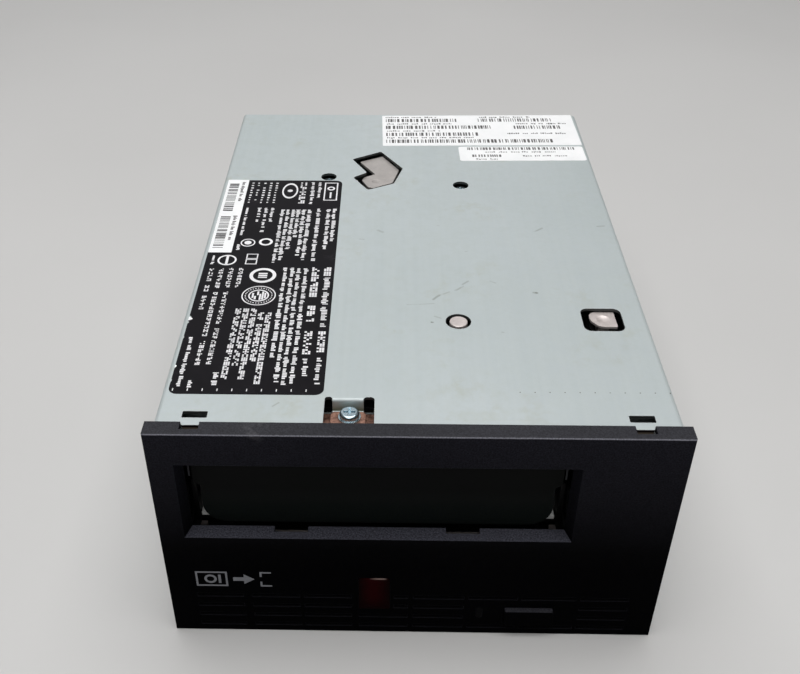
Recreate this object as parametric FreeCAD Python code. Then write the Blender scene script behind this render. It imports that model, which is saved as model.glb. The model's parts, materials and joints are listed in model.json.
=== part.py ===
import FreeCAD, Part
import os, math
from FreeCAD import Vector as V

# Internal full-height tape drive, 5.25 inch form factor, millimetres.
# X is across the drive, +Y runs from the front panel to the rear, +Z is up.
# The origin is the centre of the footprint to within a millimetre, on the plane the drive stands on.

os.makedirs("parts", exist_ok=True)

# ---------------------------------------------------------------- driving dimensions
BODY_W, BODY_D, BODY_H = 146.0, 205.0, 82.5        # form-factor envelope behind the panel
PANEL_W, PANEL_H, PANEL_T = 149.8, 83.2, 6.0       # front panel
BUTTON_PROUD = 1.5                                 # button ahead of the panel
Y_REAR = 107.0
Y_FRONT = Y_REAR - BODY_D                          # -98.0, front edge of cover and chassis
Y_FACE = Y_FRONT - PANEL_T                         # -104.0, panel face
Y_BTN = Y_FACE - BUTTON_PROUD                      # -105.5, frontmost plane
HX = BODY_W / 2.0                                  # 73.0
PX = PANEL_W / 2.0                                 # 74.9
PX0, PX1 = -PX - 0.2, PX - 0.2                     # the panel reaches a little further on the left

T_COVER = 1.0
T_CHASSIS = 1.2
COVER_SKIRT_Z = 36.3                               # lower edge of the cover's sides
CHASSIS_STEP_Z = 36.0                              # chassis wall steps in above this

# cartridge and mouth
CART_W, CART_L, CART_H = 105.4, 102.0, 21.5
CART_X = -11.0                                     # centre line of the cartridge
MOUTH_X0, MOUTH_X1 = -67.4, 45.4                   # mouth at the panel face
MOUTH_Z0, MOUTH_Z1 = 42.65, 71.85
MOUTH_TAPER = 1.3
JAMB_D = 5.0                                       # depth of the mouth's jambs
CAM_TRAVEL, TRAY_DROP = 20.0, 9.0

# deck
DECK_Z0, DECK_Z1 = 17.0, 20.0
SUP = (CART_X, -42.0)                              # supply hub axis
TAKE = (-14.0, 57.0)                               # take-up reel axis
ARM = (19.3, 41.0)                                 # threading arm axis
ARM_R = 41.6                                       # radius of the leader pin's path
ARM_PARK = -45.0                                   # parked direction of the arm, degrees
REEL_R = 45.5
ROLLERS = [(38.0, 17.5), (45.5, 29.0), (45.5, 53.0), (38.5, 63.0)]
ROLLER_R = 5.0
FRAME_Z0, FRAME_Z1 = 75.0, 76.2                    # upper frame plate

# mounting holes, M3
MH_R = 1.25
MH_Y0 = Y_FRONT + 47.4
MH_PITCH = 79.25
MH_X = 139.7 / 2.0
MH_Z0, MH_Z1 = 9.9, 21.8
BOSS = 2.8                                         # length of the tapped bosses in the side walls

# gears
MOD = 0.8
Z_RACK_PINION, Z_BIG, Z_MOTOR = 14, 30, 10
Z_ARM, Z_ARM_PINION = 48, 12


# ---------------------------------------------------------------- helpers
def box(x0, x1, y0, y1, z0, z1):
    return Part.makeBox(x1 - x0, y1 - y0, z1 - z0, V(x0, y0, z0))


def cyl(c, r, a, b, ax="z"):
    # c: the two coordinates across the axis, in X, Y, Z order
    if ax == "z":
        return Part.makeCylinder(r, b - a, V(c[0], c[1], a), V(0, 0, 1))
    if ax == "x":
        return Part.makeCylinder(r, b - a, V(a, c[0], c[1]), V(1, 0, 0))
    return Part.makeCylinder(r, b - a, V(c[0], a, c[1]), V(0, 1, 0))


def ring(c, ro, ri, a, b, ax="z"):
    return cyl(c, ro, a, b, ax).cut(cyl(c, ri, a - 1, b + 1, ax))


def wire2(pts, rad=0.0):
    # closed wire in the XY plane with rounded corners
    n = len(pts)
    rads = rad if isinstance(rad, (list, tuple)) else [rad] * n
    segs, ends = [], []
    for i in range(n):
        p, q, s = pts[i - 1], pts[i], pts[(i + 1) % n]
        r = rads[i]
        if r <= 0:
            ends.append((q, q, None))
            continue
        a = (p[0] - q[0], p[1] - q[1]); b = (s[0] - q[0], s[1] - q[1])
        la, lb = math.hypot(*a), math.hypot(*b)
        a = (a[0] / la, a[1] / la); b = (b[0] / lb, b[1] / lb)
        ang = math.acos(max(-1, min(1, a[0] * b[0] + a[1] * b[1])))
        d = r / math.tan(ang / 2)
        t0 = (q[0] + a[0] * d, q[1] + a[1] * d); t1 = (q[0] + b[0] * d, q[1] + b[1] * d)
        bis = (a[0] + b[0], a[1] + b[1]); lbis = math.hypot(*bis)
        h = r / math.sin(ang / 2)
        cc = (q[0] + bis[0] / lbis * h, q[1] + bis[1] / lbis * h)
        m = (q[0] - cc[0], q[1] - cc[1]); lm = math.hypot(*m)
        mid = (cc[0] + m[0] / lm * r, cc[1] + m[1] / lm * r)
        ends.append((t0, t1, mid))
    edges = []
    for i in range(n):
        t0, t1, mid = ends[i]
        if mid is not None:
            edges.append(Part.Arc(V(t0[0], t0[1], 0), V(mid[0], mid[1], 0), V(t1[0], t1[1], 0)).toShape())
        nx = ends[(i + 1) % n][0]
        if math.hypot(nx[0] - t1[0], nx[1] - t1[1]) > 1e-6:
            edges.append(Part.LineSegment(V(t1[0], t1[1], 0), V(nx[0], nx[1], 0)).toShape())
    return Part.Wire(edges)


def prism(pts, a, b, ax="z", rad=0.0):
    # pts are (x, y) for z, (x, z) for y, (y, z) for x
    f = Part.Face(wire2(pts, rad))
    s = f.extrude(V(0, 0, b - a))
    s.translate(V(0, 0, a))
    if ax == "y":      # (x, z, y): rotate so local Y is world Z and local Z is world -Y, then mirror
        s = s.mirror(V(0, 0, 0), V(0, 0, 1))
        s.rotate(V(0, 0, 0), V(1, 0, 0), 90)
    elif ax == "x":    # local X -> world Y, local Y -> world Z, local Z -> world X
        m = FreeCAD.Matrix(0, 0, 1, 0, 1, 0, 0, 0, 0, 1, 0, 0, 0, 0, 0, 1)
        s = s.transformGeometry(m) if False else s.copy()
        s.transformShape(m, True)
    return s


def rect(x0, x1, y0, y1):
    return [(x0, y0), (x1, y0), (x1, y1), (x0, y1)]


def fuse(parts):
    s = parts[0]
    if len(parts) > 1:
        s = s.multiFuse(parts[1:])
    return s.removeSplitter()


def cutall(s, parts):
    return s.cut(Part.makeCompound(parts)) if len(parts) > 1 else s.cut(parts[0])


def try_fillet(s, test, r, chamfer=False):
    es = [e for e in s.Edges if test(e)]
    if not es:
        return s
    try:
        q = s.makeChamfer(r, es) if chamfer else s.makeFillet(r, es)
        if q.isValid() and q.Volume > 0.5 * s.Volume:
            return q
    except Exception:
        pass
    return s


def gear_pts(z, m, phase, shrink=0.14, add=0.8, ded=1.05):
    # involute spur gear outline, 20 degree pressure angle, one tooth centred on phase (radians)
    r, ra, rf = z * m / 2.0, z * m / 2.0 + add * m, z * m / 2.0 - ded * m
    rb = r * math.cos(math.radians(20))
    inv = lambda a: math.tan(a) - a
    half = (math.pi * m / 2.0 - shrink * m) / 2.0 / r
    prof = []
    rs = max(rb, rf)
    for i in range(5):
        rr = rs + (ra - rs) * i / 4.0
        al = math.acos(min(1.0, rb / rr))
        prof.append((rr, half + inv(math.radians(20)) - inv(al)))
    if rf < rb:
        prof.insert(0, (rf, prof[0][1]))
    pts = []
    for k in range(z):
        c = phase + 2 * math.pi * k / z
        for rr, a in prof:
            pts.append((rr * math.cos(c - a), rr * math.sin(c - a)))
        for rr, a in reversed(prof):
            pts.append((rr * math.cos(c + a), rr * math.sin(c + a)))
    return pts


def gear(c, z, m, phase, a, b, ax, bore=0.0):
    p = [(c[0] + x, c[1] + y) for x, y in gear_pts(z, m, phase)]
    s = prism(p, a, b, ax)
    if bore > 0:
        s = s.cut(cyl(c, bore, a - 1, b + 1, ax))
    return s


SHEET = {}


def save(name, shape):
    solids = shape.Solids
    out = solids[0] if len(solids) == 1 else Part.makeCompound(solids)
    for s in solids:
        if not s.isValid():
            print("INVALID", name)
    out.exportStep("parts/%s.step" % name)
    bb = out.BoundBox
    SHEET[name] = out
    print("%-22s %2d solids vol %9.1f  X %.2f..%.2f Y %.2f..%.2f Z %.2f..%.2f" % (
        name, len(solids), out.Volume, bb.XMin, bb.XMax, bb.YMin, bb.YMax, bb.ZMin, bb.ZMax))


# ================================================================ outer shells
# ---- top cover: one steel sheet, sides turned down, short rear flange, two front hooks
CHEV = [(-23.3, 62.9), (-11.8, 69.9), (-3.0, 54.9), (-6.5, 42.2), (-16.5, 36.8), (-22.55, 47.05), (-17.2, 51.3)]
prof = [(-HX, COVER_SKIRT_Z), (-HX, BODY_H), (HX, BODY_H), (HX, COVER_SKIRT_Z),
        (HX - T_COVER, COVER_SKIRT_Z), (HX - T_COVER, BODY_H - T_COVER),
        (-HX + T_COVER, BODY_H - T_COVER), (-HX + T_COVER, COVER_SKIRT_Z)]
cover = prism(prof, Y_FRONT, Y_REAR, "y", [0, 1.6, 1.6, 0, 0, 0.6, 0.6, 0])
cover = fuse([cover, box(-HX + 1.6, HX - 1.6, Y_REAR - T_COVER, Y_REAR, 70.5, BODY_H - 0.5)])
cover = try_fillet(cover, lambda e: abs(e.BoundBox.YMin - Y_REAR) < 1e-3 and abs(e.BoundBox.YMax - Y_REAR) < 1e-3
                   and abs(e.BoundBox.ZMin - BODY_H) < 1e-3 and abs(e.BoundBox.ZMax - BODY_H) < 1e-3, 0.9)
zt0, zt1 = BODY_H - T_COVER, BODY_H
cuts = [prism(CHEV, zt0 - 1, zt1 + 1, "z", [0.8, 0.8, 1.5, 1.5, 1.2, 1.2, 0.8]),
        cyl((13.65, -49.5), 4.0, zt0 - 1, zt1 + 1),
        prism(rect(52.5, 65.2, -54.05, -41.9), zt0 - 1, zt1 + 1, "z", 2.5),
        cyl((-32.1, 47.5), 3.0, zt0 - 1, zt1 + 1),
        cyl((ARM[0], ARM[1]), 3.0, zt0 - 1, zt1 + 1),
        prism(rect(-65.4, -58.4, -96.1, -93.4), zt0 - 1, zt1 + 1, "z", 0.3),
        prism(rect(58.3, 65.4, -96.4, -93.6), zt0 - 1, zt1 + 1, "z", 0.3),
        # fork notch: two slits with round ends, the tongue between them is added below
        prism([(-26.1, Y_FRONT - 2), (-12.0, Y_FRONT - 2), (-12.0, -86.65), (-15.1, -86.65), (-15.1, -87.0),
               (-24.0, -87.0), (-24.0, -86.65), (-26.1, -86.65)], zt0 - 1, zt1 + 1, "z",
              [0, 0, 1.2, 1.2, 0, 0, 0.95, 0.95])]
# louvres low on both sides of the rear half
for sx in (-1, 1):
    for k in range(7):
        y = 30.0 + 9.0 * k
        cuts.append(box(min(sx * (HX - 2), sx * (HX + 1)), max(sx * (HX - 2), sx * (HX + 1)), y, y + 1.6, 44.0, 60.0))
cover = cutall(cover, cuts)
# joggled tongue under the screw
tong = prism([(-96.6, 77.2), (-86.9, 77.2), (-86.9, 81.5), (-86.4, 81.5), (-86.4, 82.5), (-87.9, 82.5), (-87.9, 78.2), (-96.6, 78.2)],
             -24.0, -15.1, "x", [0, 0.9, 0, 0, 0, 0.9, 0.5, 0])
tong = tong.cut(cyl((-19.05, -91.1), 1.7, 76, 84))
cover = fuse([cover, tong])
# hooks that lock into the panel
for x0, x1, x2, x3, d in ((-65.4, -59.8, -64.9, -60.2, 1.2), (59.1, 64.9, 59.35, 64.3, 1.4)):
    plate = prism([(x0, Y_FRONT + 0.5), (x1, Y_FRONT + 0.5), (x1, Y_FRONT), (x3, Y_FRONT - d), (x2, Y_FRONT - d), (x0, Y_FRONT)],
                  zt0, zt1, "z", [0, 0, 0, 0.3, 0.3, 0])
    lip = box(x2 + 0.2, x3 - 0.2, Y_FRONT - d, Y_FRONT - d + 0.9, zt0 - 2.2, zt0 + 0.5)
    cover = fuse([cover, plate, lip])
save("top_cover", cover)

# ---- chassis: folded steel tray, side walls step in under the cover, front bridge
HC = HX - T_COVER - 0.1      # 71.9 outer half-width of the upper wall
b = [box(-HX, HX, Y_FRONT, Y_REAR, 0, T_CHASSIS)]
for s in (-1, 1):
    x_out, x_in = s * HX, s * (HX - T_CHASSIS)
    b.append(box(min(x_out, x_in), max(x_out, x_in), Y_FRONT, Y_REAR, 0, CHASSIS_STEP_Z))
    u_out, u_in = s * HC, s * (HC - T_CHASSIS)
    b.append(box(min(x_out, u_in), max(x_out, u_in), Y_FRONT, Y_REAR, CHASSIS_STEP_Z - T_CHASSIS, CHASSIS_STEP_Z))
    b.append(box(min(u_out, u_in), max(u_out, u_in), Y_FRONT + 0.3, Y_REAR - 1.3, CHASSIS_STEP_Z - T_CHASSIS, 81.2))
    for y in (MH_Y0, MH_Y0 + MH_PITCH):
        b.append(cyl((s * MH_X, y), 2.9, T_CHASSIS, 4.2))
        for z in (MH_Z0, MH_Z1):
            b.append(cyl((y, z), 2.9, min(s * (HX - BOSS), s * (HX - 1)), max(s * (HX - BOSS), s * (HX - 1)), "x"))
# front bridge between the side walls, carries the earth clip and the cover screw
b.append(box(-HC + 0.5, HC - 0.5, Y_FRONT + 0.3, -86.0, FRAME_Z0, FRAME_Z1))
b.append(box(-HC + 0.5, HC - 0.5, -87.2, -86.0, FRAME_Z1 - 0.2, FRAME_Z1 + 1.0).cut(box(-30, -8, -90, -80, 70, 90)))
b.append(cyl((-19.05, -91.1), 2.6, 74.6, FRAME_Z0 + 0.5))
chassis = fuse(b)
cuts = []
for s in (-1, 1):
    for y in (MH_Y0, MH_Y0 + MH_PITCH):
        cuts.append(cyl((s * MH_X, y), MH_R, -1, 6))
        for z in (MH_Z0, MH_Z1):
            cuts.append(cyl((y, z), MH_R, min(s * (HX - 5), s * (HX + 1)), max(s * (HX - 5), s * (HX + 1)), "x"))
cuts.append(cyl((-19.05, -91.1), 1.25, 70, 80))
# catches for the panel's lower tongues
for s in (-1, 1):
    cuts.append(box(s * 60 - 3.2, s * 60 + 3.2, -95.5, -93.6, -1, 3))
# cooling slots in the floor
for i in range(6):
    for j in range(2):
        x = -47.0 + 14 * i + (10 if i > 2 else 0)
        y = -70.0 + 105 * j
        cuts.append(prism(rect(x, x + 3.0, y, y + 34.0), -1, 3, "z", 1.45))
chassis = cutall(chassis, cuts)
save("base_chassis", chassis)

# ---- rear panel
rp = box(-70.5, 70.5, 104.9, 105.9, 1.4, 80.8)
cuts = [prism(rect(-63.2, -4.8, 7.0, 19.0), 103, 107, "y", 1.0),
        prism(rect(36.6, 61.4, 6.3, 19.6), 103, 107, "y", 0.6),
        prism(rect(8.0, 28.0, 6.2, 14.0), 103, 107, "y", 0.5)]
for r in range(5):
    for c in range(9):
        cuts.append(prism(rect(-62 + 14.2 * c, -51 + 14.2 * c, 32 + 8.5 * r, 34.2 + 8.5 * r), 103, 107, "y", 1.05))
rp = cutall(rp, cuts)
save("rear_panel", rp)

# ================================================================ front panel
W1 = 2.5      # face thickness
pan = box(PX0, PX1, Y_FACE, Y_FRONT, 0, PANEL_H)
pan = try_fillet(pan, lambda e: abs(e.BoundBox.YMin - Y_FACE) < 1e-3 and abs(e.BoundBox.YMax - Y_FACE) < 1e-3, 0.45)
hollow = box(PX0 + 1.9, PX1 - 1.9, Y_FACE + W1, Y_FRONT + 1, 1.9, PANEL_H - 1.8)
# frame left round the mouth
yr = Y_FACE + JAMB_D
keep = box(MOUTH_X0 - 1.9, MOUTH_X1 + 1.9, Y_FACE, yr, MOUTH_Z0 - 1.8, MOUTH_Z1 + 1.8)
hollow = hollow.cut(keep)
# pads left round the hooks
pan = pan.cut(hollow)
mouth = prism([(MOUTH_X0 - 0.6, Y_FACE - 1), (MOUTH_X1 + 0.5, Y_FACE - 1), (MOUTH_X1 - MOUTH_TAPER, yr), (MOUTH_X1 - MOUTH_TAPER, yr + 2),
               (MOUTH_X0 + MOUTH_TAPER, yr + 2), (MOUTH_X0 + MOUTH_TAPER, yr)], MOUTH_Z0, MOUTH_Z1, "z")
cuts = [mouth]
for x0, x1 in ((-41.5, -31.6), (9.2, 19.2)):
    cuts.append(box(x0, x1, yr - 2.2, yr + 1, MOUTH_Z0 - 3, MOUTH_Z0 + 0.5))
# ventilation slots
ROWS = [16.3, 11.8, 7.3, 2.8]
SLOT_H = 1.4
COLS = [(-66.6, -52.3), (-49.6, -34.9), (-33.6, -19.0), (-16.8, -1.6), (0.1, 15.7), (17.1, 32.1), (33.3, 50.0), (51.3, 66.1)]
for ri, z in enumerate(ROWS):
    for ci, (x0, x1) in enumerate(COLS):
        if ci in (5, 6) and ri in (1, 2):
            continue
        if ci == 3 and ri in (0, 1):
            x0 = -5.9
        if ri == 3:
            z_ = max(z, 2.8)
        cuts.append(box(x0, x1, Y_FACE - 1, Y_FACE + W1 + 1, z, z + SLOT_H))
# window, button, status light
WIN = (-16.8, -7.1, 11.8, 25.7)
BTN = (28.3, 43.3, 5.6, 12.5)
cuts.append(prism([(WIN[0], WIN[2]), (WIN[1], WIN[2]), (WIN[1], WIN[3]), (WIN[0], WIN[3])], Y_FACE - 1, Y_FACE + W1 + 1, "y", 0.5))
cuts.append(prism(rect(BTN[0] - 0.3, BTN[1] + 0.3, BTN[2] - 0.3, BTN[3] + 0.3), Y_FACE - 1, Y_FACE + W1 + 1, "y", 0.7))
cuts.append(prism(rect(19.6, 21.6, 7.9, 12.8), Y_FACE - 1, Y_FACE + W1 + 1, "y", 0.95))
# recesses for the cover's hooks, and the top wall set back from the cover's edge
cuts.append(box(-65.2, -59.9, -101.6, Y_FRONT + 1, 78.4, PANEL_H + 1))
cuts.append(box(59.1, 64.6, -101.8, Y_FRONT + 1, 78.4, PANEL_H + 1))
cuts.append(box(PX0 - 1, PX1 + 1, Y_FRONT - 0.6, Y_FRONT + 1, PANEL_H - 1.9, PANEL_H + 1))
pan = cutall(pan, cuts)
# door ears behind the mouth's upper corners
HINGE_Y, HINGE_Z = -94.9, 72.2
ears = []
for x0, x1 in ((-67.9, -66.0), (43.5, 45.4)):
    e = prism([(-101.7, 73.2), (-98.5, 68.6), (-93.6, 68.6), (-92.3, 70.5), (-92.3, 74.2), (-101.7, 74.2)], x0, x1, "x", [0, 0, 1.0, 0.8, 0.5, 0])
    ears.append(e.cut(cyl((HINGE_Y, HINGE_Z), 1.06, x0 - 1, x1 + 1, "x")))
# lower tongues with a nub that snaps into the chassis floor
for s in (-1, 1):
    ears.append(box(s * 60 - 4.0, s * 60 + 4.0, Y_FRONT - 0.5, -93.4, 1.35, 2.8))
    ears.append(box(s * 60 - 4.0, s * 60 + 4.0, Y_FACE + W1 - 0.1, Y_FRONT, 1.35, 2.8))
    ears.append(box(s * 60 - 2.8, s * 60 + 2.8, -95.2, -93.9, 0.4, 1.5))
# heat-staked bosses that hold the front panel's circuit board
for x in (-2.0, 24.5, 49.0):
    ears.append(cyl((x, 24.2), 2.3, Y_FACE + W1 - 0.1, -95.65, "y"))
    ears.append(cyl((x, 24.2), 1.0, -95.8, -93.9, "y"))
    ears.append(cyl((x, 24.2), 1.7, -94.15, -93.5, "y"))
pan = fuse([pan] + ears)
save("front_bezel", pan)

# ---- window, display, light, button
win = prism(rect(WIN[0] + 0.06, WIN[1] - 0.06, WIN[2] + 0.06, WIN[3] - 0.06), Y_FACE - 0.5, Y_FACE + W1, "y", 0.55)
win = fuse([win, box(WIN[0] - 1.0, WIN[1] + 1.0, Y_FACE + W1, Y_FACE + W1 + 1.1, WIN[2] - 1.0, WIN[3] + 1.0)])
win = try_fillet(win, lambda e: abs(e.BoundBox.YMin - (Y_FACE - 0.5)) < 1e-3 and abs(e.BoundBox.YMax - (Y_FACE - 0.5)) < 1e-3, 0.2)
save("display_window", win)

disp = box(-16.6, -7.3, -99.6, -95.6, 12.0, 25.5)
seg = []
cx, zb, sw, sh, st = -12.0, 14.0, 4.6, 4.6, 0.9
for k in range(3):
    seg.append(box(cx - sw / 2 + 0.5, cx + sw / 2 - 0.5, -99.9, -99.6, zb + k * sh, zb + k * sh + st))
for k in range(2):
    for sx in (-1, 1):
        xx = cx + sx * (sw / 2)
        seg.append(box(xx - st / 2, xx + st / 2, -99.9, -99.6, zb + k * sh + 1.1, zb + (k + 1) * sh - 0.2))
disp = fuse([disp] + seg)
save("display_module", disp)

lp = prism(rect(19.66, 21.54, 7.96, 12.74), Y_FACE - 0.15, -96.6, "y", 0.9)
save("status_light", lp)

btn = prism(rect(BTN[0], BTN[1], BTN[2], BTN[3]), Y_BTN, Y_FACE + W1 + 0.2, "y", 0.5)
btn = try_fillet(btn, lambda e: abs(e.BoundBox.YMin - Y_BTN) < 1e-3 and abs(e.BoundBox.YMax - Y_BTN) < 1e-3, 0.35)
btn = fuse([btn, box(BTN[0] - 1.4, BTN[1] + 1.4, Y_FACE + W1 + 0.15, Y_FACE + W1 + 1.2, BTN[2] - 1.2, BTN[3] + 1.2),
            cyl((35.8, 9.05), 1.0, Y_FACE + W1 + 1.0, -98.3, "y")])
save("eject_button", btn)


def helix_spring(c, r_mid, wire_r, a, b, turns, ax):
    # coil as a stack of separate-looking turns swept on a helix
    pitch = (b - a - 2 * wire_r) / turns
    h = Part.makeHelix(pitch, pitch * turns, r_mid)
    prof_ = Part.Wire([Part.Circle(V(r_mid, 0, 0), V(0, 1, 0), wire_r).toShape()])
    sp = Part.Wire(h.Edges).makePipeShell([prof_], True, True)
    sp.translate(V(0, 0, wire_r))
    if ax == "y":
        sp.rotate(V(0, 0, 0), V(1, 0, 0), -90)
        sp.translate(V(c[0], a, c[1]))
    else:
        sp.translate(V(c[0], c[1], a))
    return sp


# drawn at its pressed length, so that the button clears it over its whole travel
sp = helix_spring((35.8, 9.05), 1.7, 0.2, Y_FACE + W1 + 1.25 + BUTTON_PROUD, -96.65, 3.5, "y")
save("button_spring", sp)

pb = cutall(box(-20.0, 52.0, -95.6, -94.2, 3.0, 28.5), [cyl((x, 24.2), 1.06, -97, -93, "y") for x in (-2.0, 24.5, 49.0)])
sw_ = fuse([box(32.8, 38.8, -96.6, -95.6, 6.05, 12.05)])
plunge = cyl((35.8, 9.05), 1.0, -96.75, -96.6, "y")
led = box(19.9, 21.3, -96.5, -95.6, 8.6, 12.1)
chips = [box(-2.0, 6.0, -94.2, -92.9, 8.0, 16.0), box(26.0, 31.0, -94.2, -93.2, 16.0, 20.0), box(10.0, 16.0, -94.2, -92.6, 16.0, 22.0)]
save("panel_board", fuse([pb, sw_, plunge, led] + chips))

# ---- dust door: shouldered flap with stub pins at its top corners
DY0, DY1 = -96.5, -95.0
DW = [(-64.8, 73.6), (-64.8, 58.0), (-62.8, 57.0), (-62.8, 41.8), (40.5, 41.8), (40.5, 57.0), (42.45, 58.0), (42.45, 73.6)]
door = prism(DW, DY0, DY1, "y", [0.5, 1.2, 0.8, 7.0, 7.0, 0.8, 1.2, 0.5])
add = []
for x0, x1, p0, p1 in ((-64.8, -58.0, -67.4, -64.8), (35.6, 42.45, 42.45, 45.0)):
    add.append(cyl((HINGE_Y, HINGE_Z), 1.9, x0, x1, "x"))
    add.append(cyl((HINGE_Y, HINGE_Z), 1.0, p0 - 0.0, p1 + 0.0, "x"))
# stiffening ribs on the back
for x in (-54.0, -33.0, -11.2, 10.6, 31.6):
    add.append(box(x - 0.6, x + 0.6, DY1 - 0.2, DY1 + 1.1, 46.0, 69.0))
add.append(box(-58.0, 35.6, DY1 - 0.2, DY1 + 1.0, 70.0, 73.2))
door = fuse([door] + add)
save("dust_door", door)

# ---- torsion springs beside the stub pins, one leg hangs down beside the door
spr = []
for x0, x1, xl in ((-65.85, -64.95, -65.45), (42.6, 43.4, 43.0)):
    coil = ring((HINGE_Y, HINGE_Z), 2.0, 1.25, x0, x1, "x")
    leg = box(xl - 0.25, xl + 0.25, -97.1, -96.6, 61.0, 72.4)
    foot = box(xl - 0.25, xl + 0.25, -97.1, -96.25, 71.9, 72.4)
    spr.append(fuse([coil, leg, foot]))
save("door_springs", Part.makeCompound(spr))

# ---- cover screw with captive washer, copper alloy earth clip under it
SX, SY = -19.05, -91.1
head = cyl((SX, SY), 2.8, 79.3, 80.9)
head = try_fillet(head, lambda e: abs(e.BoundBox.ZMin - 80.9) < 1e-3 and abs(e.BoundBox.ZMax - 80.9) < 1e-3, 0.85)
cross = fuse([box(SX - 1.65, SX + 1.65, SY - 0.42, SY + 0.42, 79.8, 82), box(SX - 0.42, SX + 0.42, SY - 1.65, SY + 1.65, 79.8, 82)])
screw = fuse([head, cyl((SX, SY), 1.2, 74.7, 79.4)]).cut(cross)
wash = ring((SX, SY), 3.2, 1.3, 78.65, 79.25)
save("cover_screw", Part.makeCompound([screw, wash]))

clip = fuse([prism(rect(-27.2, -10.9, -97.2, -87.4), 76.2, 76.75, "z", 0.8),
             box(-24.4, -14.5, -97.6, -97.15, 76.2, 78.6),
             prism(rect(-24.4, -14.5, -97.6, -88.6), 78.2, 78.62, "z", [0, 0, 1.2, 1.2]),
             ]).cut(cyl((SX, SY), 1.5, 70, 84))
save("earth_clip", clip)

# ================================================================ mechanism frame
# ---- upper frame plate with a clear hole under each window of the cover
uf = prism([(-69.5, -84.0), (69.5, -84.0), (69.5, 103.0), (-69.5, 103.0)], FRAME_Z0, FRAME_Z1, "z", 2.0)
cuts = [prism([(-27.0, 33.0), (1.0, 33.0), (1.0, 73.5), (-27.0, 73.5)], 70, 80, "z", 2.0),
        prism(rect(49.5, 68.2, -58.0, -36.0), 70, 80, "z", 2.0),
        prism(rect(-58, 40, -30, 22), 70, 80, "z", 6.0),
        prism(rect(-60, 60, 78, 98), 70, 80, "z", 4.0),
        prism(rect(-58, 5, -78, -40), 70, 80, "z", 6.0),
        cyl((13.75, -49.0), 1.5, 70, 80)]
for p in ((-65.5, 15.0), (-65.5, 98.5), (65.5, 98.5), (65.5, -3.0), (-32.1, 47.5), ARM):
    cuts.append(cyl(p, 1.6, 70, 80))
uf = cutall(uf, cuts)
uf = fuse([uf, box(-16.5, -9.5, 32.0, 74.5, FRAME_Z0, FRAME_Z1), box(56.5, 62.5, -59.0, -35.0, FRAME_Z0, FRAME_Z1)])
save("upper_frame", uf)

# ---- pads that stand up into the cover's windows
CHI = [(-20.25, 63.5), (-11.2, 68.5), (-4.5, 56.4), (-7.1, 45.5), (-14.7, 41.2), (-16.6, 41.9), (-19.1, 47.7), (-18.1, 50.2), (-13.9, 52.6)]
pad = prism(CHI, 80.0, 81.0, "z", [0.5, 0.5, 1.0, 1.5, 0.6, 0.8, 0.8, 0.8, 0.6])
pad = pad.cut(Part.makeSphere(5.0, V(-13.5, 47.0, 85.7)))
pad = fuse([pad, box(-15.0, -11.0, 44.0, 65.0, FRAME_Z1, 80.2)])
save("chevron_pad", pad)

boss = fuse([cyl((13.75, -49.0), 2.85, FRAME_Z1, 82.2), cyl((13.75, -49.0), 1.45, FRAME_Z0 - 2, FRAME_Z1 + 0.1)])
boss = try_fillet(boss, lambda e: abs(e.BoundBox.ZMin - 82.2) < 1e-3 and abs(e.BoundBox.ZMax - 82.2) < 1e-3, 0.3)
save("guide_boss", boss)

tab = prism([(55.45, -41.6), (63.5, -41.7), (63.65, -49.8), (58.0, -49.65), (55.45, -46.2)], 80.2, 81.0, "z", [2.4, 0.5, 0.5, 3.6, 3.6])
tab = tab.cut(Part.makeSphere(5.5, V(59.6, -45.7, 86.05)))
tab = fuse([tab, box(58.0, 61.5, -47.5, -43.5, FRAME_Z1, 80.4)])
save("spring_tab", tab)

# ---- screws of the upper frame: two stand under the cover's access holes
scr = []
for p, zb_ in (((-32.1, 47.5), 78.9), ((ARM[0], ARM[1]), 78.9), ((-65.5, 15.0), FRAME_Z1), ((-65.5, 98.5), FRAME_Z1),
               ((65.5, 98.5), FRAME_Z1), ((65.5, -3.0), FRAME_Z1)):
    h = cyl(p, 2.75, zb_, zb_ + 1.9)
    h = try_fillet(h, lambda e, q=zb_ + 1.9: abs(e.BoundBox.ZMin - q) < 1e-3 and abs(e.BoundBox.ZMax - q) < 1e-3, 0.8)
    s = fuse([h, cyl(p, 1.5, 70.0, zb_ + 0.1)] + ([cyl(p, 2.2, FRAME_Z1, zb_ + 0.1)] if zb_ > FRAME_Z1 else []))
    q = zb_ + 1.9
    s = s.cut(fuse([box(p[0] - 1.5, p[0] + 1.5, p[1] - 0.35, p[1] + 0.35, q - 0.9, q + 1),
                    box(p[0] - 0.35, p[0] + 0.35, p[1] - 1.5, p[1] + 1.5, q - 0.9, q + 1)]))
    scr.append(s)
save("frame_screws", Part.makeCompound(scr))

posts = []
for p in ((-65.5, 15.0), (-65.5, 98.5), (65.5, 98.5), (65.5, -3.0)):
    posts.append(cyl(p, 3.0, DECK_Z1, FRAME_Z0).cut(cyl(p, 1.5, 69.9, FRAME_Z0 + 1)))
save("frame_posts", Part.makeCompound(posts))

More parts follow.
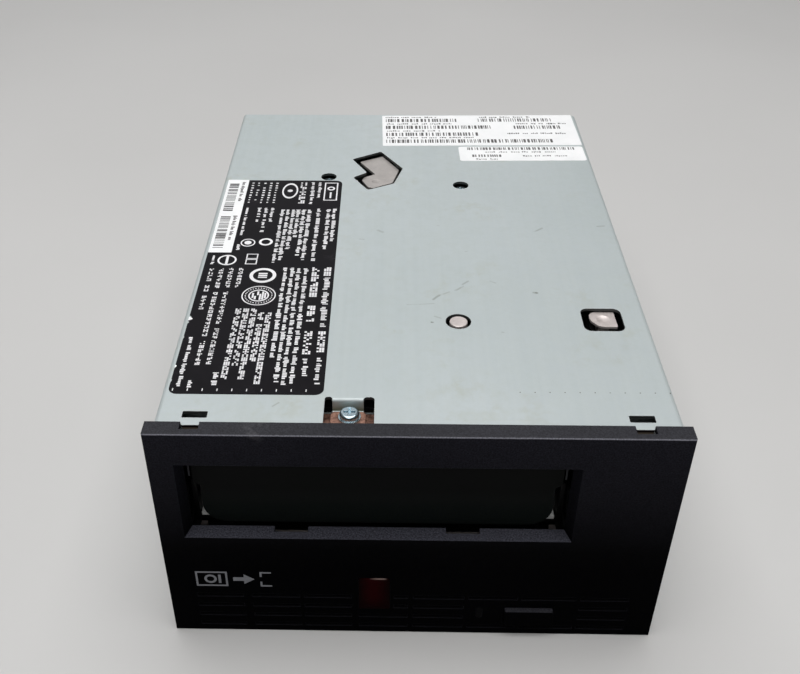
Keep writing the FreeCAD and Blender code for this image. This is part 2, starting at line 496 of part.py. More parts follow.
# ---- deck: cast aluminium plate with ribs, floats on four rubber mounts
deck = prism([(-68.5, -90.0), (46.0, -90.0), (46.0, -9.0), (69.5, -9.0), (69.5, 102.5), (-68.5, 102.5)], DECK_Z0, DECK_Z1, "z", 3.0)
ribs = [box(-60, 40, y - 1, y + 1, 14.6, DECK_Z0 + 0.1) for y in (-70.0, -14.0, 9.0, 88.0)]
ribs += [box(x - 1, x + 1, -84, 88.4, 14.6, DECK_Z0 + 0.1) for x in (-40.0, 24.0)]
ribs += [ring(SUP, 30.6, 28.6, 14.6, DECK_Z0 + 0.1), ring(TAKE, 32.7, 30.7, 14.6, DECK_Z0 + 0.1)]
deck = fuse([deck] + ribs)
ISO = [(-60.0, -82.0), (38.0, -82.0), (-60.0, 79.0), (60.5, 86.0)]
cuts = [cyl(SUP, 4.5, 10, 25), cyl(TAKE, 4.5, 10, 25)] + [cyl(p, 2.0, 10, 25) for p in ISO]
cuts += [cyl(p, 1.5, 10, 25) for p in ROLLERS] + [cyl((37.5, 36.5), 1.2, 10, 25), cyl((37.5, 45.5), 1.2, 10, 25)]
cuts += [prism(rect(-56, -44, 20, 60), 10, 25, "z", 3.0), prism(rect(52, 64, 20, 70), 10, 25, "z", 3.0)]
cuts.append(prism(rect(36.0, 62.0, 93.2, 110.0), 10, 25, "z", 1.5))      # clears the power connector
deck = cutall(deck, cuts)
save("deck_plate", deck)

iso = [ring(p, 5.5, 2.0, 12.6, 14.6).fuse(ring(p, 4.0, 2.0, 14.4, DECK_Z0)).removeSplitter() for p in ISO]
save("deck_isolators", Part.makeCompound(iso))

# ---- posts on the chassis floor: four under the deck, six under the board
cp = [fuse([cyl(p, 3.0, T_CHASSIS, 12.6), cyl(p, 1.9, 12.5, 19.0)]) for p in ISO]
BP = [(-62.0, -40.0), (62.0, -78.0), (62.0, -30.0), (-62.0, 30.0), (62.0, 40.0), (0.0, 0.0)]
cp += [cyl(p, 2.5, T_CHASSIS, 5.0).cut(cyl(p, 1.3, 2.0, 6.0)) for p in BP]
save("chassis_posts", Part.makeCompound(cp))

# ---- main board with its packages
mb = box(-67.0, 67.0, -89.5, 103.0, 5.0, 6.6)
mb = cutall(mb, [cyl(p, 4.0, 0, 10) for p in ISO] + [cyl(p, 1.5, 0, 10) for p in BP])
comp = []
for x, y, w, l, h in ((-30, -60, 27, 27, 2.2), (10, -62, 20, 20, 2.0), (-48, -20, 12, 22, 1.4), (-30, -20, 12, 22, 1.4), (10, -20, 28, 28, 2.4),
                      (44, -10, 10, 14, 1.8), (-44, 62, 18, 18, 2.0), (4, 30, 24, 24, 2.2), (40, 56, 16, 16, 1.8), (-20, 44, 10, 18, 1.4),
                      (50, -60, 12, 12, 1.6), (-52, 6, 8, 10, 1.2)):
    comp.append(box(x - w / 2, x + w / 2, y - l / 2, y + l / 2, 6.6, 6.6 + h))
for x, y, r, h in ((32, 80, 4, 6.0), (24, 82, 3, 6.0), (17, 76, 3, 6.0), (50, 74, 4, 6.0), (-48, 82, 3, 6.0)):
    comp.append(cyl((x, y), r, 6.6, 6.6 + h))
for k in range(10):
    comp.append(box(-60 + 7 * k, -57 + 7 * k, 72, 73.6, 6.6, 7.3))
comp.append(box(8.4, 27.6, 97.0, 105.6, 6.6, 13.6).cut(box(9.4, 26.6, 99.0, 110, 8.3, 12.1)))
mb = fuse([mb] + comp)
save("main_board", mb)

scb = []
for p in BP:
    s = fuse([cyl(p, 2.4, 6.6, 8.2), cyl(p, 1.25, 2.2, 6.7)])
    scb.append(s.cut(fuse([box(p[0] - 1.3, p[0] + 1.3, p[1] - 0.3, p[1] + 0.3, 7.4, 9), box(p[0] - 0.3, p[0] + 0.3, p[1] - 1.3, p[1] + 1.3, 7.4, 9)])))
save("board_screws", Part.makeCompound(scb))

# ---- rear connectors
dc = fuse([box(-59.0, -9.0, 92.0, 104.0, 6.6, 16.4), box(-63.0, -5.0, 103.2, 104.8, 6.6, 18.8), prism(rect(-58.0, -10.0, 8.2, 17.2), 104.0, 106.9, "y", 1.2)])
dc = dc.cut(prism(rect(-57.2, -10.8, 9.0, 16.4), 105.2, 108, "y", 1.0))
core = prism(rect(-55.5, -12.5, 10.3, 15.1), 105.0, 106.5, "y", 0.8)
slots = [box(-54.5 + 1.27 * i, -54.5 + 1.27 * i + 0.55, 105.5, 107, 10.9 + 2.4 * j, 12.1 + 2.4 * j) for i in range(33) for j in range(2)]
dc = fuse([dc, core.cut(Part.makeCompound(slots))])
nuts = [cyl((-60.6, 12.7), 2.2, 104.7, 106.6, "y").cut(cyl((-60.6, 12.7), 1.0, 104, 108, "y")),
        cyl((-7.4, 12.7), 2.2, 104.7, 106.6, "y").cut(cyl((-7.4, 12.7), 1.0, 104, 108, "y"))]
dc = fuse([dc] + nuts)
save("data_connector", dc)

pc = prism([(37.0, 6.7), (61.0, 6.7), (61.0, 18.6), (59.6, 19.2), (38.4, 19.2), (37.0, 18.6)], 94.0, Y_REAR, "y")
pc = pc.cut(prism([(38.6, 8.3), (59.4, 8.3), (59.4, 15.6), (57.6, 17.4), (40.4, 17.4), (38.6, 15.6)], 96.6, Y_REAR + 1, "y"))
pins = [cyl((41.4 + 5.08 * k, 12.6), 1.05, 96.0, 102.0, "y") for k in range(4)]
save("power_connector", fuse([pc] + pins))

# ================================================================ cartridge loader
FLX0, FLX1 = -69.9, -68.9
FRX0, FRX1 = 48.7, 49.7
PIN_Y = (-76.0, -36.0)
PIN_Z = 50.0
PIN_R = 1.5
P1 = (-46.0, 30.4)            # rack pinion axis (y, z)
P2 = (-62.0, 30.4)            # motor axis


def loader_plate(x0, x1, foot):
    out = [(-96.0, 34.0), (-96.0, 60.0), (-84.0, 68.0), (-84.0, FRAME_Z0), (-12.0, FRAME_Z0), (-12.0, 60.0), (-20.0, 52.0),
           (-20.0, DECK_Z1), (-84.0, DECK_Z1)]
    s = prism(out, x0, x1, "x", [2, 2, 2, 0, 0, 2, 2, 0, 2])
    f = box(min(foot, x0), max(foot, x1), -78.0, -24.0, DECK_Z1, DECK_Z1 + 1.2)
    s = fuse([s, f])
    c = []
    for y in PIN_Y:
        c.append(prism([(y - PIN_R - 0.1, PIN_Z - TRAY_DROP - PIN_R - 0.4), (y + PIN_R + 0.1, PIN_Z - TRAY_DROP - PIN_R - 0.4),
                        (y + PIN_R + 0.1, PIN_Z + PIN_R + 0.4), (y - PIN_R - 0.1, PIN_Z + PIN_R + 0.4)], x0 - 1, x1 + 1, "x", 1.4))
    c.append(prism(rect(-70, -30, 56, 70), x0 - 1, x1 + 1, "x", 4))
    return cutall(s, c)


lf = loader_plate(FLX0, FLX1, -58.0)
lf = lf.cut(box(-75, -60, -95, -82, 20, 31))
save("loader_frame_left", lf)

rf = loader_plate(FRX0, FRX1, 40.0)
rf = rf.cut(box(44, 52, -95, -82, 20, 31))
rf = fuse([rf, box(FRX0, 55.9, -76.0, -32.0, 44.6, 45.8), box(54.7, 55.9, -76.0, -32.0, 20.6, 45.8)])
rf = cutall(rf, [cyl(P1, 3.0, 40, 53, "x"), cyl(P1, 1.55, 53, 58, "x"), cyl(P2, 1.4, 50, 58, "x")]
            + [box(FRX0 - 1, FRX1 + 0.3, y - PIN_R - 0.1, y + PIN_R + 0.1, 43.0, 47.5) for y in PIN_Y])
save("loader_frame_right", rf)


def cam_plate(x0, x1):
    out = [(-95.0, 39.0), (-95.0, 54.0), (-31.0, 54.0), (-31.0, 37.0), (-84.0, 37.0), (-84.0, 24.0), (-93.6, 24.0), (-93.6, 33.0)]
    s = prism(out, x0, x1, "x", [1.5, 3, 3, 2, 2, 1.5, 1.5, 1.5])
    c = []
    for y in PIN_Y:
        # slanted track: pin at rest at the upper rear end
        yA, zA = y, PIN_Z
        yB, zB = y - CAM_TRAVEL, PIN_Z - TRAY_DROP
        L = math.hypot(yA - yB, zA - zB)
        ux, uz = (yA - yB) / L, (zA - zB) / L
        rr = PIN_R + 0.12
        nx, nz = -uz * rr, ux * rr
        ex = 0.15
        a0 = (yA + ux * ex, zA + uz * ex); b0 = (yB - ux * ex, zB - uz * ex)
        trk = prism([(a0[0] + nx, a0[1] + nz), (b0[0] + nx, b0[1] + nz), (b0[0] - nx, b0[1] - nz), (a0[0] - nx, a0[1] - nz)], x0 - 1, x1 + 1, "x")
        c += [trk, cyl(a0, rr, x0 - 1, x1 + 1, "x"), cyl(b0, rr, x0 - 1, x1 + 1, "x")]
    return s, c


CL0, CL1 = -68.1, -66.9
CR0, CR1 = 44.7, 45.9
s, c = cam_plate(CL0, CL1)
save("cam_plate_left", cutall(s, c))
s, c = cam_plate(CR0, CR1)
# rack under the right plate, teeth facing down on the pitch line z = 36
RACK_Z = P1[1] + Z_RACK_PINION * MOD / 2.0
pitch = math.pi * MOD
rk = []
y = -72.5
pts = [(-72.5, 40.0)]
hw = (pitch / 2 - 0.14 * MOD) / 2
t20 = math.tan(math.radians(20))
n0 = int(math.floor((-72.0 - P1[0]) / pitch))
n1 = int(math.floor((-38.5 - P1[0]) / pitch))
zroot, ztip = RACK_Z + 1.05 * MOD, RACK_Z - 0.8 * MOD
low = [(-72.5, zroot)]
for k in range(n0, n1):
    yc = P1[0] + (k + 0.5) * pitch          # a tooth gap is centred over the pinion axis
    low += [(yc - hw - 1.05 * MOD * t20, zroot), (yc - hw + 0.8 * MOD * t20, ztip), (yc + hw - 0.8 * MOD * t20, ztip), (yc + hw + 1.05 * MOD * t20, zroot)]
low += [(-37.5, zroot), (-37.5, 39.4), (-72.5, 39.4)]
rack = prism(low, CR0, 47.7, "x")
cr = fuse([cutall(s.cut(box(CR0 - 1, CR1 + 1, -72.5, -37.5, 30, 38)), c), rack])
cr = cutall(cr, c)
save("cam_plate_right", cr)

bar = box(CL1, CR0, -92.0, -88.0, 24.5, 29.0)
bar = fuse([bar, box(CL1, CL1 + 2.0, -93.5, -85.0, 24.5, 29.6), box(CR0 - 2.0, CR0, -93.5, -85.0, 24.5, 29.6)])
save("cam_cross_bar", bar)

# compound drive gear: rack pinion, journal through the frame, large gear, outer stub
g1 = gear(P1, Z_RACK_PINION, MOD, math.pi / 2, 44.9, 47.6, "x")
g2 = gear(P1, Z_BIG, MOD, math.pi, 50.8, 53.8, "x")
dg = fuse([g1, cyl(P1, 2.95, 47.5, 50.9, "x"), g2, cyl(P1, 1.5, 53.7, 57.0, "x")])
save("drive_gear", dg)
mp = fuse([gear(P2, Z_MOTOR, MOD, math.pi / Z_MOTOR, 50.9, 53.7, "x"), cyl(P2, 1.0, 53.6, 60.0, "x")])
save("motor_pinion", mp)
lm = cyl(P2, 8.2, 55.9, 70.0, "x").cut(cyl(P2, 1.06, 50, 60.3, "x"))
lm = lm.cut(box(50, 72, P2[0] - 9, P2[0] + 9, P2[1] + 7.0, P2[1] + 9)).cut(box(50, 72, P2[0] - 9, P2[0] + 9, P2[1] - 9, P2[1] - 7.0))
save("loader_motor", lm)

# ---- tray: pan, white side guides, top plate, four pins
TY0, TY1 = -93.5, 10.2
TXL, TXR = -66.1, 44.1
pan_ = prism([(TXL, TY0), (TXR, TY0), (TXR, -4.0), (36.5, -4.0), (36.5, TY1), (TXL, TY1)], 40.0, 41.2, "z", [0, 0, 0.5, 0.5, 0.5, 0])
walls = [prism([(TY0, 40.0), (-14.0, 40.0), (-14.0, 68.0), (-62.0, 68.0), (-62.0, 60.0), (-66.0, 56.0), (TY0, 56.0)], TXL, TXL + 0.8, "x"),
         box(TXL, TXL + 0.8, -14.5, TY1, 40.0, 56.0),
         prism([(TY0, 40.0), (-14.0, 40.0), (-14.0, 68.0), (-62.0, 68.0), (-62.0, 60.0), (-66.0, 56.0), (TY0, 56.0)], TXR - 0.8, TXR, "x"),
         box(TXL, 20.0, TY1 - 1.0, TY1, 40.0, 50.0)]
pan_ = fuse([pan_] + walls)
cuts = [cyl(SUP, 26.0, 30, 45)]
for y in PIN_Y:
    cuts += [cyl((y, PIN_Z), 1.2, -70, -60, "x"), cyl((y, PIN_Z), 1.2, 40, 46, "x")]
pan_ = cutall(pan_, cuts)
save("tray_pan", pan_)


def guide(sx):
    # L-shaped rail: wall and ledge with a rounded inner corner, flared at the front
    xw = CART_X + sx * 54.3                  # outer face of the wall
    xi = CART_X + sx * 52.9                  # inner face, beside the cartridge
    xl = CART_X + sx * 49.6                  # tip of the ledge
    ye = TY1 - 1.2 if sx < 0 else -14.0
    prof_ = [(xw, 41.2), (xl, 41.2), (xl, 42.4), (xi, 42.4), (xi, 56.0), (xw, 56.0)]
    rad = [0, 0, 0.3, 0.5, 0.3, 0]
    if sx > 0:
        prof_ = list(reversed(prof_)); rad = list(reversed(rad))
    g = prism(prof_, TY0, ye, "y", rad)
    flare = prism([(xi, TY0 - 0.5), (xi - sx * -0.9, TY0 - 0.5), (xi, TY0 + 4.0)], 42.4, 60, "z")
    g = g.cut(flare)
    holes = [cyl((y, PIN_Z), 1.2, min(xw, xi) - 1, max(xw, xi) + 1, "x") for y in PIN_Y]
    if sx > 0:
        pass
    return cutall(g, holes)


save("tray_guide_left", guide(-1))
save("tray_guide_right", guide(1))

tp = box(TXL, TXR, -62.0, -14.0, 68.0, 68.8)
leafs = []
for x in (-42.0, 20.0):
    leafs.append(prism([(-56.5, 68.0), (-56.5, 68.8), (-50.0, 68.8), (-36.0, 66.2), (-30.0, 66.6), (-30.0, 65.9), (-36.0, 65.4), (-50.0, 68.0)], x - 4, x + 4, "x"))
tp = fuse([tp] + leafs)
save("tray_top_plate", tp)

tps = []
for y in PIN_Y:
    tps.append(fuse([cyl((y, PIN_Z), PIN_R, -70.0, TXL, "x"), cyl((y, PIN_Z), 1.15, TXL - 0.1, TXL + 2.0, "x")]))
    tps.append(fuse([cyl((y, PIN_Z), PIN_R, TXR, 49.55, "x"), cyl((y, PIN_Z), 1.15, TXR - 2.0, TXR + 0.1, "x")]))
save("tray_pins", Part.makeCompound(tps))


# ================================================================ reel drives
def stator(c, r, zc):
    s = [cyl(c, r, DECK_Z1, 21.4), cyl(c, 4.4, 17.5, zc - 0.6)]
    s.append(ring(c, 9.0, 4.3, 21.3, zc - 1.2))
    for k in range(9):
        a = 2 * math.pi * k / 9
        t = box(7.5, r - 4.0, -1.5, 1.5, 22.4, zc - 2.0)
        h = box(r - 5.2, r - 3.6, -2.8, 2.8, 22.2, zc - 1.8)
        w = box(10.0, r - 6.0, -2.5, 2.5, 22.8, zc - 2.4)
        for q in (t, h, w):
            q.rotate(V(0, 0, 0), V(0, 0, 1), math.degrees(a))
            q.translate(V(c[0], c[1], 0))
            s.append(q)
    s.append(box(c[0] - 6, c[0] + 6, c[1] - r - 5, c[1] - r + 2, DECK_Z1, 21.4))
    return fuse(s).cut(cyl(c, 2.55, 0, 60))


def rotor(c, r, z0, z1):
    s = [cyl(c, r, z1 - 1.4, z1), ring(c, r, r - 1.6, z0, z1 - 0.1), cyl(c, 2.5, 17.6, z1)]
    cuts_ = []
    for k in range(6):
        a = 2 * math.pi * k / 6
        cuts_.append(cyl((c[0] + (r * 0.62) * math.cos(a), c[1] + (r * 0.62) * math.sin(a)), r * 0.17, z1 - 3, z1 + 1))
    return cutall(fuse(s), cuts_)


save("supply_stator", stator(SUP, 23.5, 28.6))
save("supply_rotor", rotor(SUP, 24.0, 22.2, 29.8))
# toothed clutch ring with centre pilot
cl = [cyl(SUP, 15.5, 29.8, 32.2), cyl(SUP, 5.5, 32.0, 36.5)]
ringb = ring(SUP, 15.5, 11.5, 32.1, 33.4)
cl.append(ringb)
for k in range(24):
    a = 360.0 / 24 * k
    t = prism([(11.7, -1.1), (15.3, -1.45), (15.3, 1.45), (11.7, 1.1)], 33.3, 34.9, "z")
    t = try_fillet(t, lambda e: False, 0.1)
    t.rotate(V(0, 0, 0), V(0, 0, 1), a)
    t.translate(V(SUP[0], SUP[1], 0))
    cl.append(t)
clu = fuse(cl)
clu = try_fillet(clu, lambda e: abs(e.BoundBox.ZMin - 36.5) < 1e-3 and abs(e.BoundBox.ZMax - 36.5) < 1e-3, 1.2, True)
save("supply_clutch", clu)

save("take_up_stator", stator(TAKE, 23.5, 31.0))
save("take_up_rotor", rotor(TAKE, 24.0, 22.2, 33.0))
reel = fuse([cyl(TAKE, 22.0, 33.0, 51.5), cyl(TAKE, REEL_R, 37.3, 38.5), cyl(TAKE, REEL_R, 50.3, 51.5)])
cuts = [cyl(TAKE, 12.0, 45.0, 60.0)]
for k in range(3):
    a0 = math.radians(120 * k + 30)
    # kidney windows in both flanges
    pts_ = []
    for i in range(9):
        a = a0 - 0.55 + 1.1 * i / 8
        pts_.append((TAKE[0] + 42 * math.cos(a), TAKE[1] + 42 * math.sin(a)))
    for i in range(9):
        a = a0 + 0.5 - 1.0 * i / 8
        pts_.append((TAKE[0] + 27 * math.cos(a), TAKE[1] + 27 * math.sin(a)))
    cuts.append(prism(pts_, 36, 39.5, "z"))
    cuts.append(prism(pts_, 49.5, 53, "z"))
# leader pocket in the hub
cuts.append(box(TAKE[0] - 4.5, TAKE[0] + 4.5, TAKE[1] + 12.0, TAKE[1] + 23, 38.5, 53))
reel = cutall(reel, cuts)
save("take_up_reel", reel)

# ---- rollers and pins
pins = []
for p in ROLLERS:
    pins.append(fuse([cyl(p, 1.5, DECK_Z0, 53.0), cyl(p, 3.0, DECK_Z1, 37.4), cyl(p, 2.6, 51.4, 53.0)]))
for p in ((37.5, 36.5), (37.5, 45.5)):
    pins.append(cyl(p, 1.2, DECK_Z0, 56.0))
save("deck_pins", Part.makeCompound(pins))
for i, p in enumerate(ROLLERS):
    r = cyl(p, ROLLER_R, 37.6, 51.2)
    groove = ring(p, ROLLER_R + 1, ROLLER_R - 0.7, 38.4, 50.4)
    r = r.cut(groove).cut(cyl(p, 1.55, 30, 60))
    r = r.cut(ring(p, 3.6, 2.2, 50.6, 52))
    save("guide_roller_%d" % (i + 1), r)

# ---- head on its carriage
car = fuse([box(33.5, 44.5, 34.5, 47.5, 40.0, 48.0), box(43.0, 46.0, 37.0, 45.0, 38.5, 49.5)])
car = cutall(car, [cyl((37.5, 36.5), 1.25, 30, 60), cyl((37.5, 45.5), 1.25, 30, 60), cyl((37.5, 41.0), 1.55, 30, 60)])
save("head_carriage", car)
hc = prism([(46.0, 36.6), (49.6, 37.2), (50.2, 39.2), (50.2, 42.8), (49.6, 44.8), (46.0, 45.4)], 36.8, 51.2, "z", [0, 0.6, 1.2, 1.2, 0.6, 0])
hc = hc.cut(box(49.9, 51, 40.7, 41.3, 36, 52))
save("head_core", hc)
hs = box(32.5, 44.0, 35.0, 47.0, DECK_Z1 + 1.3, 31.0)
hs = cutall(hs, [cyl((37.5, 36.5), 1.3, 10, 60), cyl((37.5, 45.5), 1.3, 10, 60), cyl((37.5, 41.0), 1.56, 10, 60)])
hs = fuse([hs, box(31.5, 45.0, 34.0, 48.0, DECK_Z1, DECK_Z1 + 1.4).cut(Part.makeCompound([cyl((37.5, 36.5), 1.3, 10, 60), cyl((37.5, 45.5), 1.3, 10, 60), cyl((37.5, 41.0), 1.56, 10, 60)]))])
save("head_stepper", hs)
ls = cyl((37.5, 41.0), 1.5, 21.6, 56.0)
ls = fuse([ls, cyl((37.5, 41.0), 2.4, 31.2, 32.4)])
ls = ls.cut(ring((37.5, 41.0), 3.0, 1.15, 34.6, 35.0)).cut(box(36.9, 38.1, 41.9, 43.0, 53.6, 57))
save("head_lead_screw", ls)

# ================================================================ threader
ca, sa = math.cos(math.radians(ARM_PARK)), math.sin(math.radians(ARM_PARK))


def at_arm(shape):
    shape.rotate(V(0, 0, 0), V(0, 0, 1), ARM_PARK)
    shape.translate(V(ARM[0], ARM[1], 0))
    return shape


arm = prism([(-7.0, -5.5), (8.0, -6.0), (ARM_R - 3.0, -3.6), (ARM_R + 3.6, -3.0), (ARM_R + 3.6, 3.0), (ARM_R - 3.0, 3.6), (8.0, 6.0), (-7.0, 5.5)],
            57.0, 59.4, "z", [4.0, 2, 1, 2.5, 2.5, 1, 2, 4.0])
arm = arm.cut(prism([(13.0, -2.4), (33.0, -1.6), (33.0, 1.6), (13.0, 2.4)], 56, 61, "z", 1.2))
arm = at_arm(arm)
gr = gear(ARM, Z_ARM, MOD, math.pi, 60.4, 62.8, "z")
# five lightening windows
for k in range(5):
    a = 2 * math.pi * k / 5 + 0.3
    gr = gr.cut(cyl((ARM[0] + 12.2 * math.cos(a), ARM[1] + 12.2 * math.sin(a)), 3.6, 60, 64))
arm = fuse([arm, gr, cyl(ARM, 6.0, 57.0, 62.8)]).cut(cyl(ARM, 3.05, 50, 70))
arm = arm.cut(at_arm(cyl((ARM_R, 0.0), 1.2, 50, 60)))
save("threading_arm", arm)
gb = fuse([prism([(ARM_R - 3.0, -3.0), (ARM_R + 3.0, -3.0), (ARM_R + 3.0, 3.0), (ARM_R - 3.0, 3.0)], 54.4, 57.0, "z", 1.0),
           cyl((ARM_R, 0.0), 1.15, 56.9, 59.4),
           box(ARM_R - 3.0, ARM_R - 1.8, -2.6, 2.6, 38.0, 55.0),
           box(ARM_R - 3.0, ARM_R + 2.2, -2.6, 2.6, 38.0, 39.4),
           prism([(ARM_R - 1.9, -2.6), (ARM_R + 0.4, -2.6), (ARM_R + 1.8, -1.3), (ARM_R - 0.2, -1.5), (ARM_R - 0.2, 1.5), (ARM_R + 1.8, 1.3), (ARM_R + 0.4, 2.6), (ARM_R - 1.9, 2.6)], 51.6, 54.5, "z")])
gb = at_arm(gb)
save("pin_grabber", gb)

PIN_A = (ARM[0] - (Z_ARM + Z_ARM_PINION) * MOD / 2.0, ARM[1])
tb = fuse([prism(rect(-37.0, 27.0, 32.5, 53.0), 64.2, 65.4, "z", 4.0),
           cyl((-32.1, 47.5), 3.2, 65.2, FRAME_Z0), cyl(ARM, 4.2, 65.2, FRAME_Z0), cyl(ARM, 3.0, 55.8, 64.4),
           cyl(ARM, 3.9, 55.8, 56.8)])
tb = cutall(tb, [cyl((-32.1, 47.5), 1.55, 69.9, 80), cyl(ARM, 1.55, 69.9, 80), cyl(PIN_A, 2.2, 60, 70)])
save("threader_bracket", tb)
pp = fuse([gear(PIN_A, Z_ARM_PINION, MOD, math.pi / Z_ARM_PINION, 60.5, 62.9, "z"), cyl(PIN_A, 1.0, 62.8, 68.0)])
save("threader_pinion", pp)
tm = fuse([cyl(PIN_A, 7.6, 65.4, 74.6), cyl(PIN_A, 2.1, 64.3, 65.5)]).cut(cyl(PIN_A, 1.06, 60, 68.3))
save("threader_motor", tm)

print(len(SHEET), "nodes")
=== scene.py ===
import bpy, bmesh, math, json, random
from mathutils import Vector, Matrix


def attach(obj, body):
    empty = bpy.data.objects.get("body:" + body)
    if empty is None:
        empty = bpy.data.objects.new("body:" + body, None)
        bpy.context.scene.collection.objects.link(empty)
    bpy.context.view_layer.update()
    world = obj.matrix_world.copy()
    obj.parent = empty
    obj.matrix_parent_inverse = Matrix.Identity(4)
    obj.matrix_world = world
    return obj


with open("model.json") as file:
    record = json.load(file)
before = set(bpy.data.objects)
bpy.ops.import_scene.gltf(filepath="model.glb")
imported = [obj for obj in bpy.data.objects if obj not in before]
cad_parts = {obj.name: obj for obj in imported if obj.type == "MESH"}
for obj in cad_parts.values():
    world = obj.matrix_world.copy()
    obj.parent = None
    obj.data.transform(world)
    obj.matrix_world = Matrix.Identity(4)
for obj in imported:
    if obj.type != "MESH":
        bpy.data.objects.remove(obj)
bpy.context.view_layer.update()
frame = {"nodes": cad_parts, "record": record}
NODES = frame["nodes"]
MM = 0.001


# ================================================================ colour and node helpers
def lin(c):
    c = c / 255.0
    return c / 12.92 if c <= 0.04045 else ((c + 0.055) / 1.055) ** 2.4


def rgb(r, g, b):
    return (lin(r), lin(g), lin(b), 1.0)


class Mat:
    """A procedural material on object coordinates, in metres."""

    def __init__(self, name):
        self.m = bpy.data.materials.new(name)
        self.m.use_nodes = True
        self.nt = self.m.node_tree
        self.nt.nodes.clear()
        self.out = self.n("ShaderNodeOutputMaterial")
        self.b = self.n("ShaderNodeBsdfPrincipled")
        self.ln(self.b.outputs[0], self.out.inputs[0])
        self.co = self.n("ShaderNodeTexCoord").outputs["Object"]
        self.m.diffuse_color = (0.5, 0.5, 0.5, 1)

    def n(self, kind, **k):
        x = self.nt.nodes.new(kind)
        for a, v in k.items():
            setattr(x, a, v)
        return x

    def ln(self, a, b):
        self.nt.links.new(a, b)

    def put(self, sock, v):
        if isinstance(v, bpy.types.NodeSocket):
            self.ln(v, sock)
        else:
            sock.default_value = v

    def set(self, **k):
        for a, v in k.items():
            self.put(self.b.inputs[a.replace("_", " ")], v)
        return self

    def map(self, scale=(1, 1, 1), loc=(0, 0, 0), rot=(0, 0, 0), vec=None):
        x = self.n("ShaderNodeMapping")
        self.ln(vec or self.co, x.inputs["Vector"])
        x.inputs["Scale"].default_value = scale
        x.inputs["Location"].default_value = loc
        x.inputs["Rotation"].default_value = rot
        return x.outputs[0]

    def noise(self, scale, detail=2.0, rough=0.5, vec=None, dist=0.0):
        x = self.n("ShaderNodeTexNoise")
        self.ln(vec or self.co, x.inputs["Vector"])
        x.inputs["Scale"].default_value = scale
        x.inputs["Detail"].default_value = detail
        x.inputs["Roughness"].default_value = rough
        x.inputs["Distortion"].default_value = dist
        return x.outputs["Fac"]

    def voro(self, scale, vec=None, feature="F1", rand=1.0):
        x = self.n("ShaderNodeTexVoronoi", feature=feature)
        self.ln(vec or self.co, x.inputs["Vector"])
        x.inputs["Scale"].default_value = scale
        x.inputs["Randomness"].default_value = rand
        return x

    def range(self, v, a, b, c=0.0, d=1.0, smooth=False):
        x = self.n("ShaderNodeMapRange", interpolation_type="SMOOTHSTEP" if smooth else "LINEAR")
        self.ln(v, x.inputs[0])
        for i, q in enumerate((a, b, c, d)):
            x.inputs[1 + i].default_value = q
        return x.outputs[0]

    def math(self, op, a, b=None, clamp=False):
        x = self.n("ShaderNodeMath", operation=op, use_clamp=clamp)
        self.put(x.inputs[0], a)
        if b is not None:
            self.put(x.inputs[1], b)
        return x.outputs[0]

    def vmath(self, op, a, b=None, scale=None):
        x = self.n("ShaderNodeVectorMath", operation=op)
        self.put(x.inputs[0], a)
        if b is not None:
            self.put(x.inputs[1], b)
        if scale is not None:
            self.put(x.inputs["Scale"], scale)
        return x.outputs["Value"] if op in ("LENGTH", "DOT_PRODUCT", "DISTANCE") else x.outputs["Vector"]

    def mix(self, f, a, b, blend="MIX"):
        x = self.n("ShaderNodeMix", data_type="RGBA", blend_type=blend)
        self.put(x.inputs[0], f)
        self.put(x.inputs[6], a)
        self.put(x.inputs[7], b)
        return x.outputs[2]

    def bump(self, h, strength, dist, normal=None):
        x = self.n("ShaderNodeBump")
        self.ln(h, x.inputs["Height"])
        x.inputs["Strength"].default_value = strength
        x.inputs["Distance"].default_value = dist
        if normal is not None:
            self.ln(normal, x.inputs["Normal"])
        return x.outputs[0]

    def bevel(self, radius, samples=4):
        x = self.n("ShaderNodeBevel", samples=samples)
        x.inputs["Radius"].default_value = radius
        return x.outputs[0]

    def edge(self, radius, a=0.02, b=0.25):
        """0 on flat faces, 1 on outer and inner edges."""
        g = self.n("ShaderNodeNewGeometry").outputs["Normal"]
        d = self.vmath("DOT_PRODUCT", self.bevel(radius, 6), g)
        return self.range(self.math("SUBTRACT", 1.0, d), a, b)

    def normal(self, v):
        self.ln(v, self.b.inputs["Normal"])
        return self

    def upward(self, a=0.35, b=0.85):
        """1 on faces that look up in the object's own frame."""
        x = self.n("ShaderNodeSeparateXYZ")
        self.ln(self.n("ShaderNodeTexCoord").outputs["Normal"], x.inputs[0])
        return self.range(x.outputs[2], a, b)

    def rounded(self):
        """1 on the rounded edge between an upward face and a front face."""
        return self.math("MULTIPLY", self.upward(0.2, 0.45), self.upward(0.97, 0.85))

    def axis(self, i, a, b, c=0.0, d=1.0):
        x = self.n("ShaderNodeSeparateXYZ")
        self.ln(self.co, x.inputs[0])
        return self.range(x.outputs[i], a, b, c, d)

    def height(self, a, b):
        return self.axis(2, a, b)

    def scaled(self, col, f):
        return self.vmath("SCALE", col, scale=f)


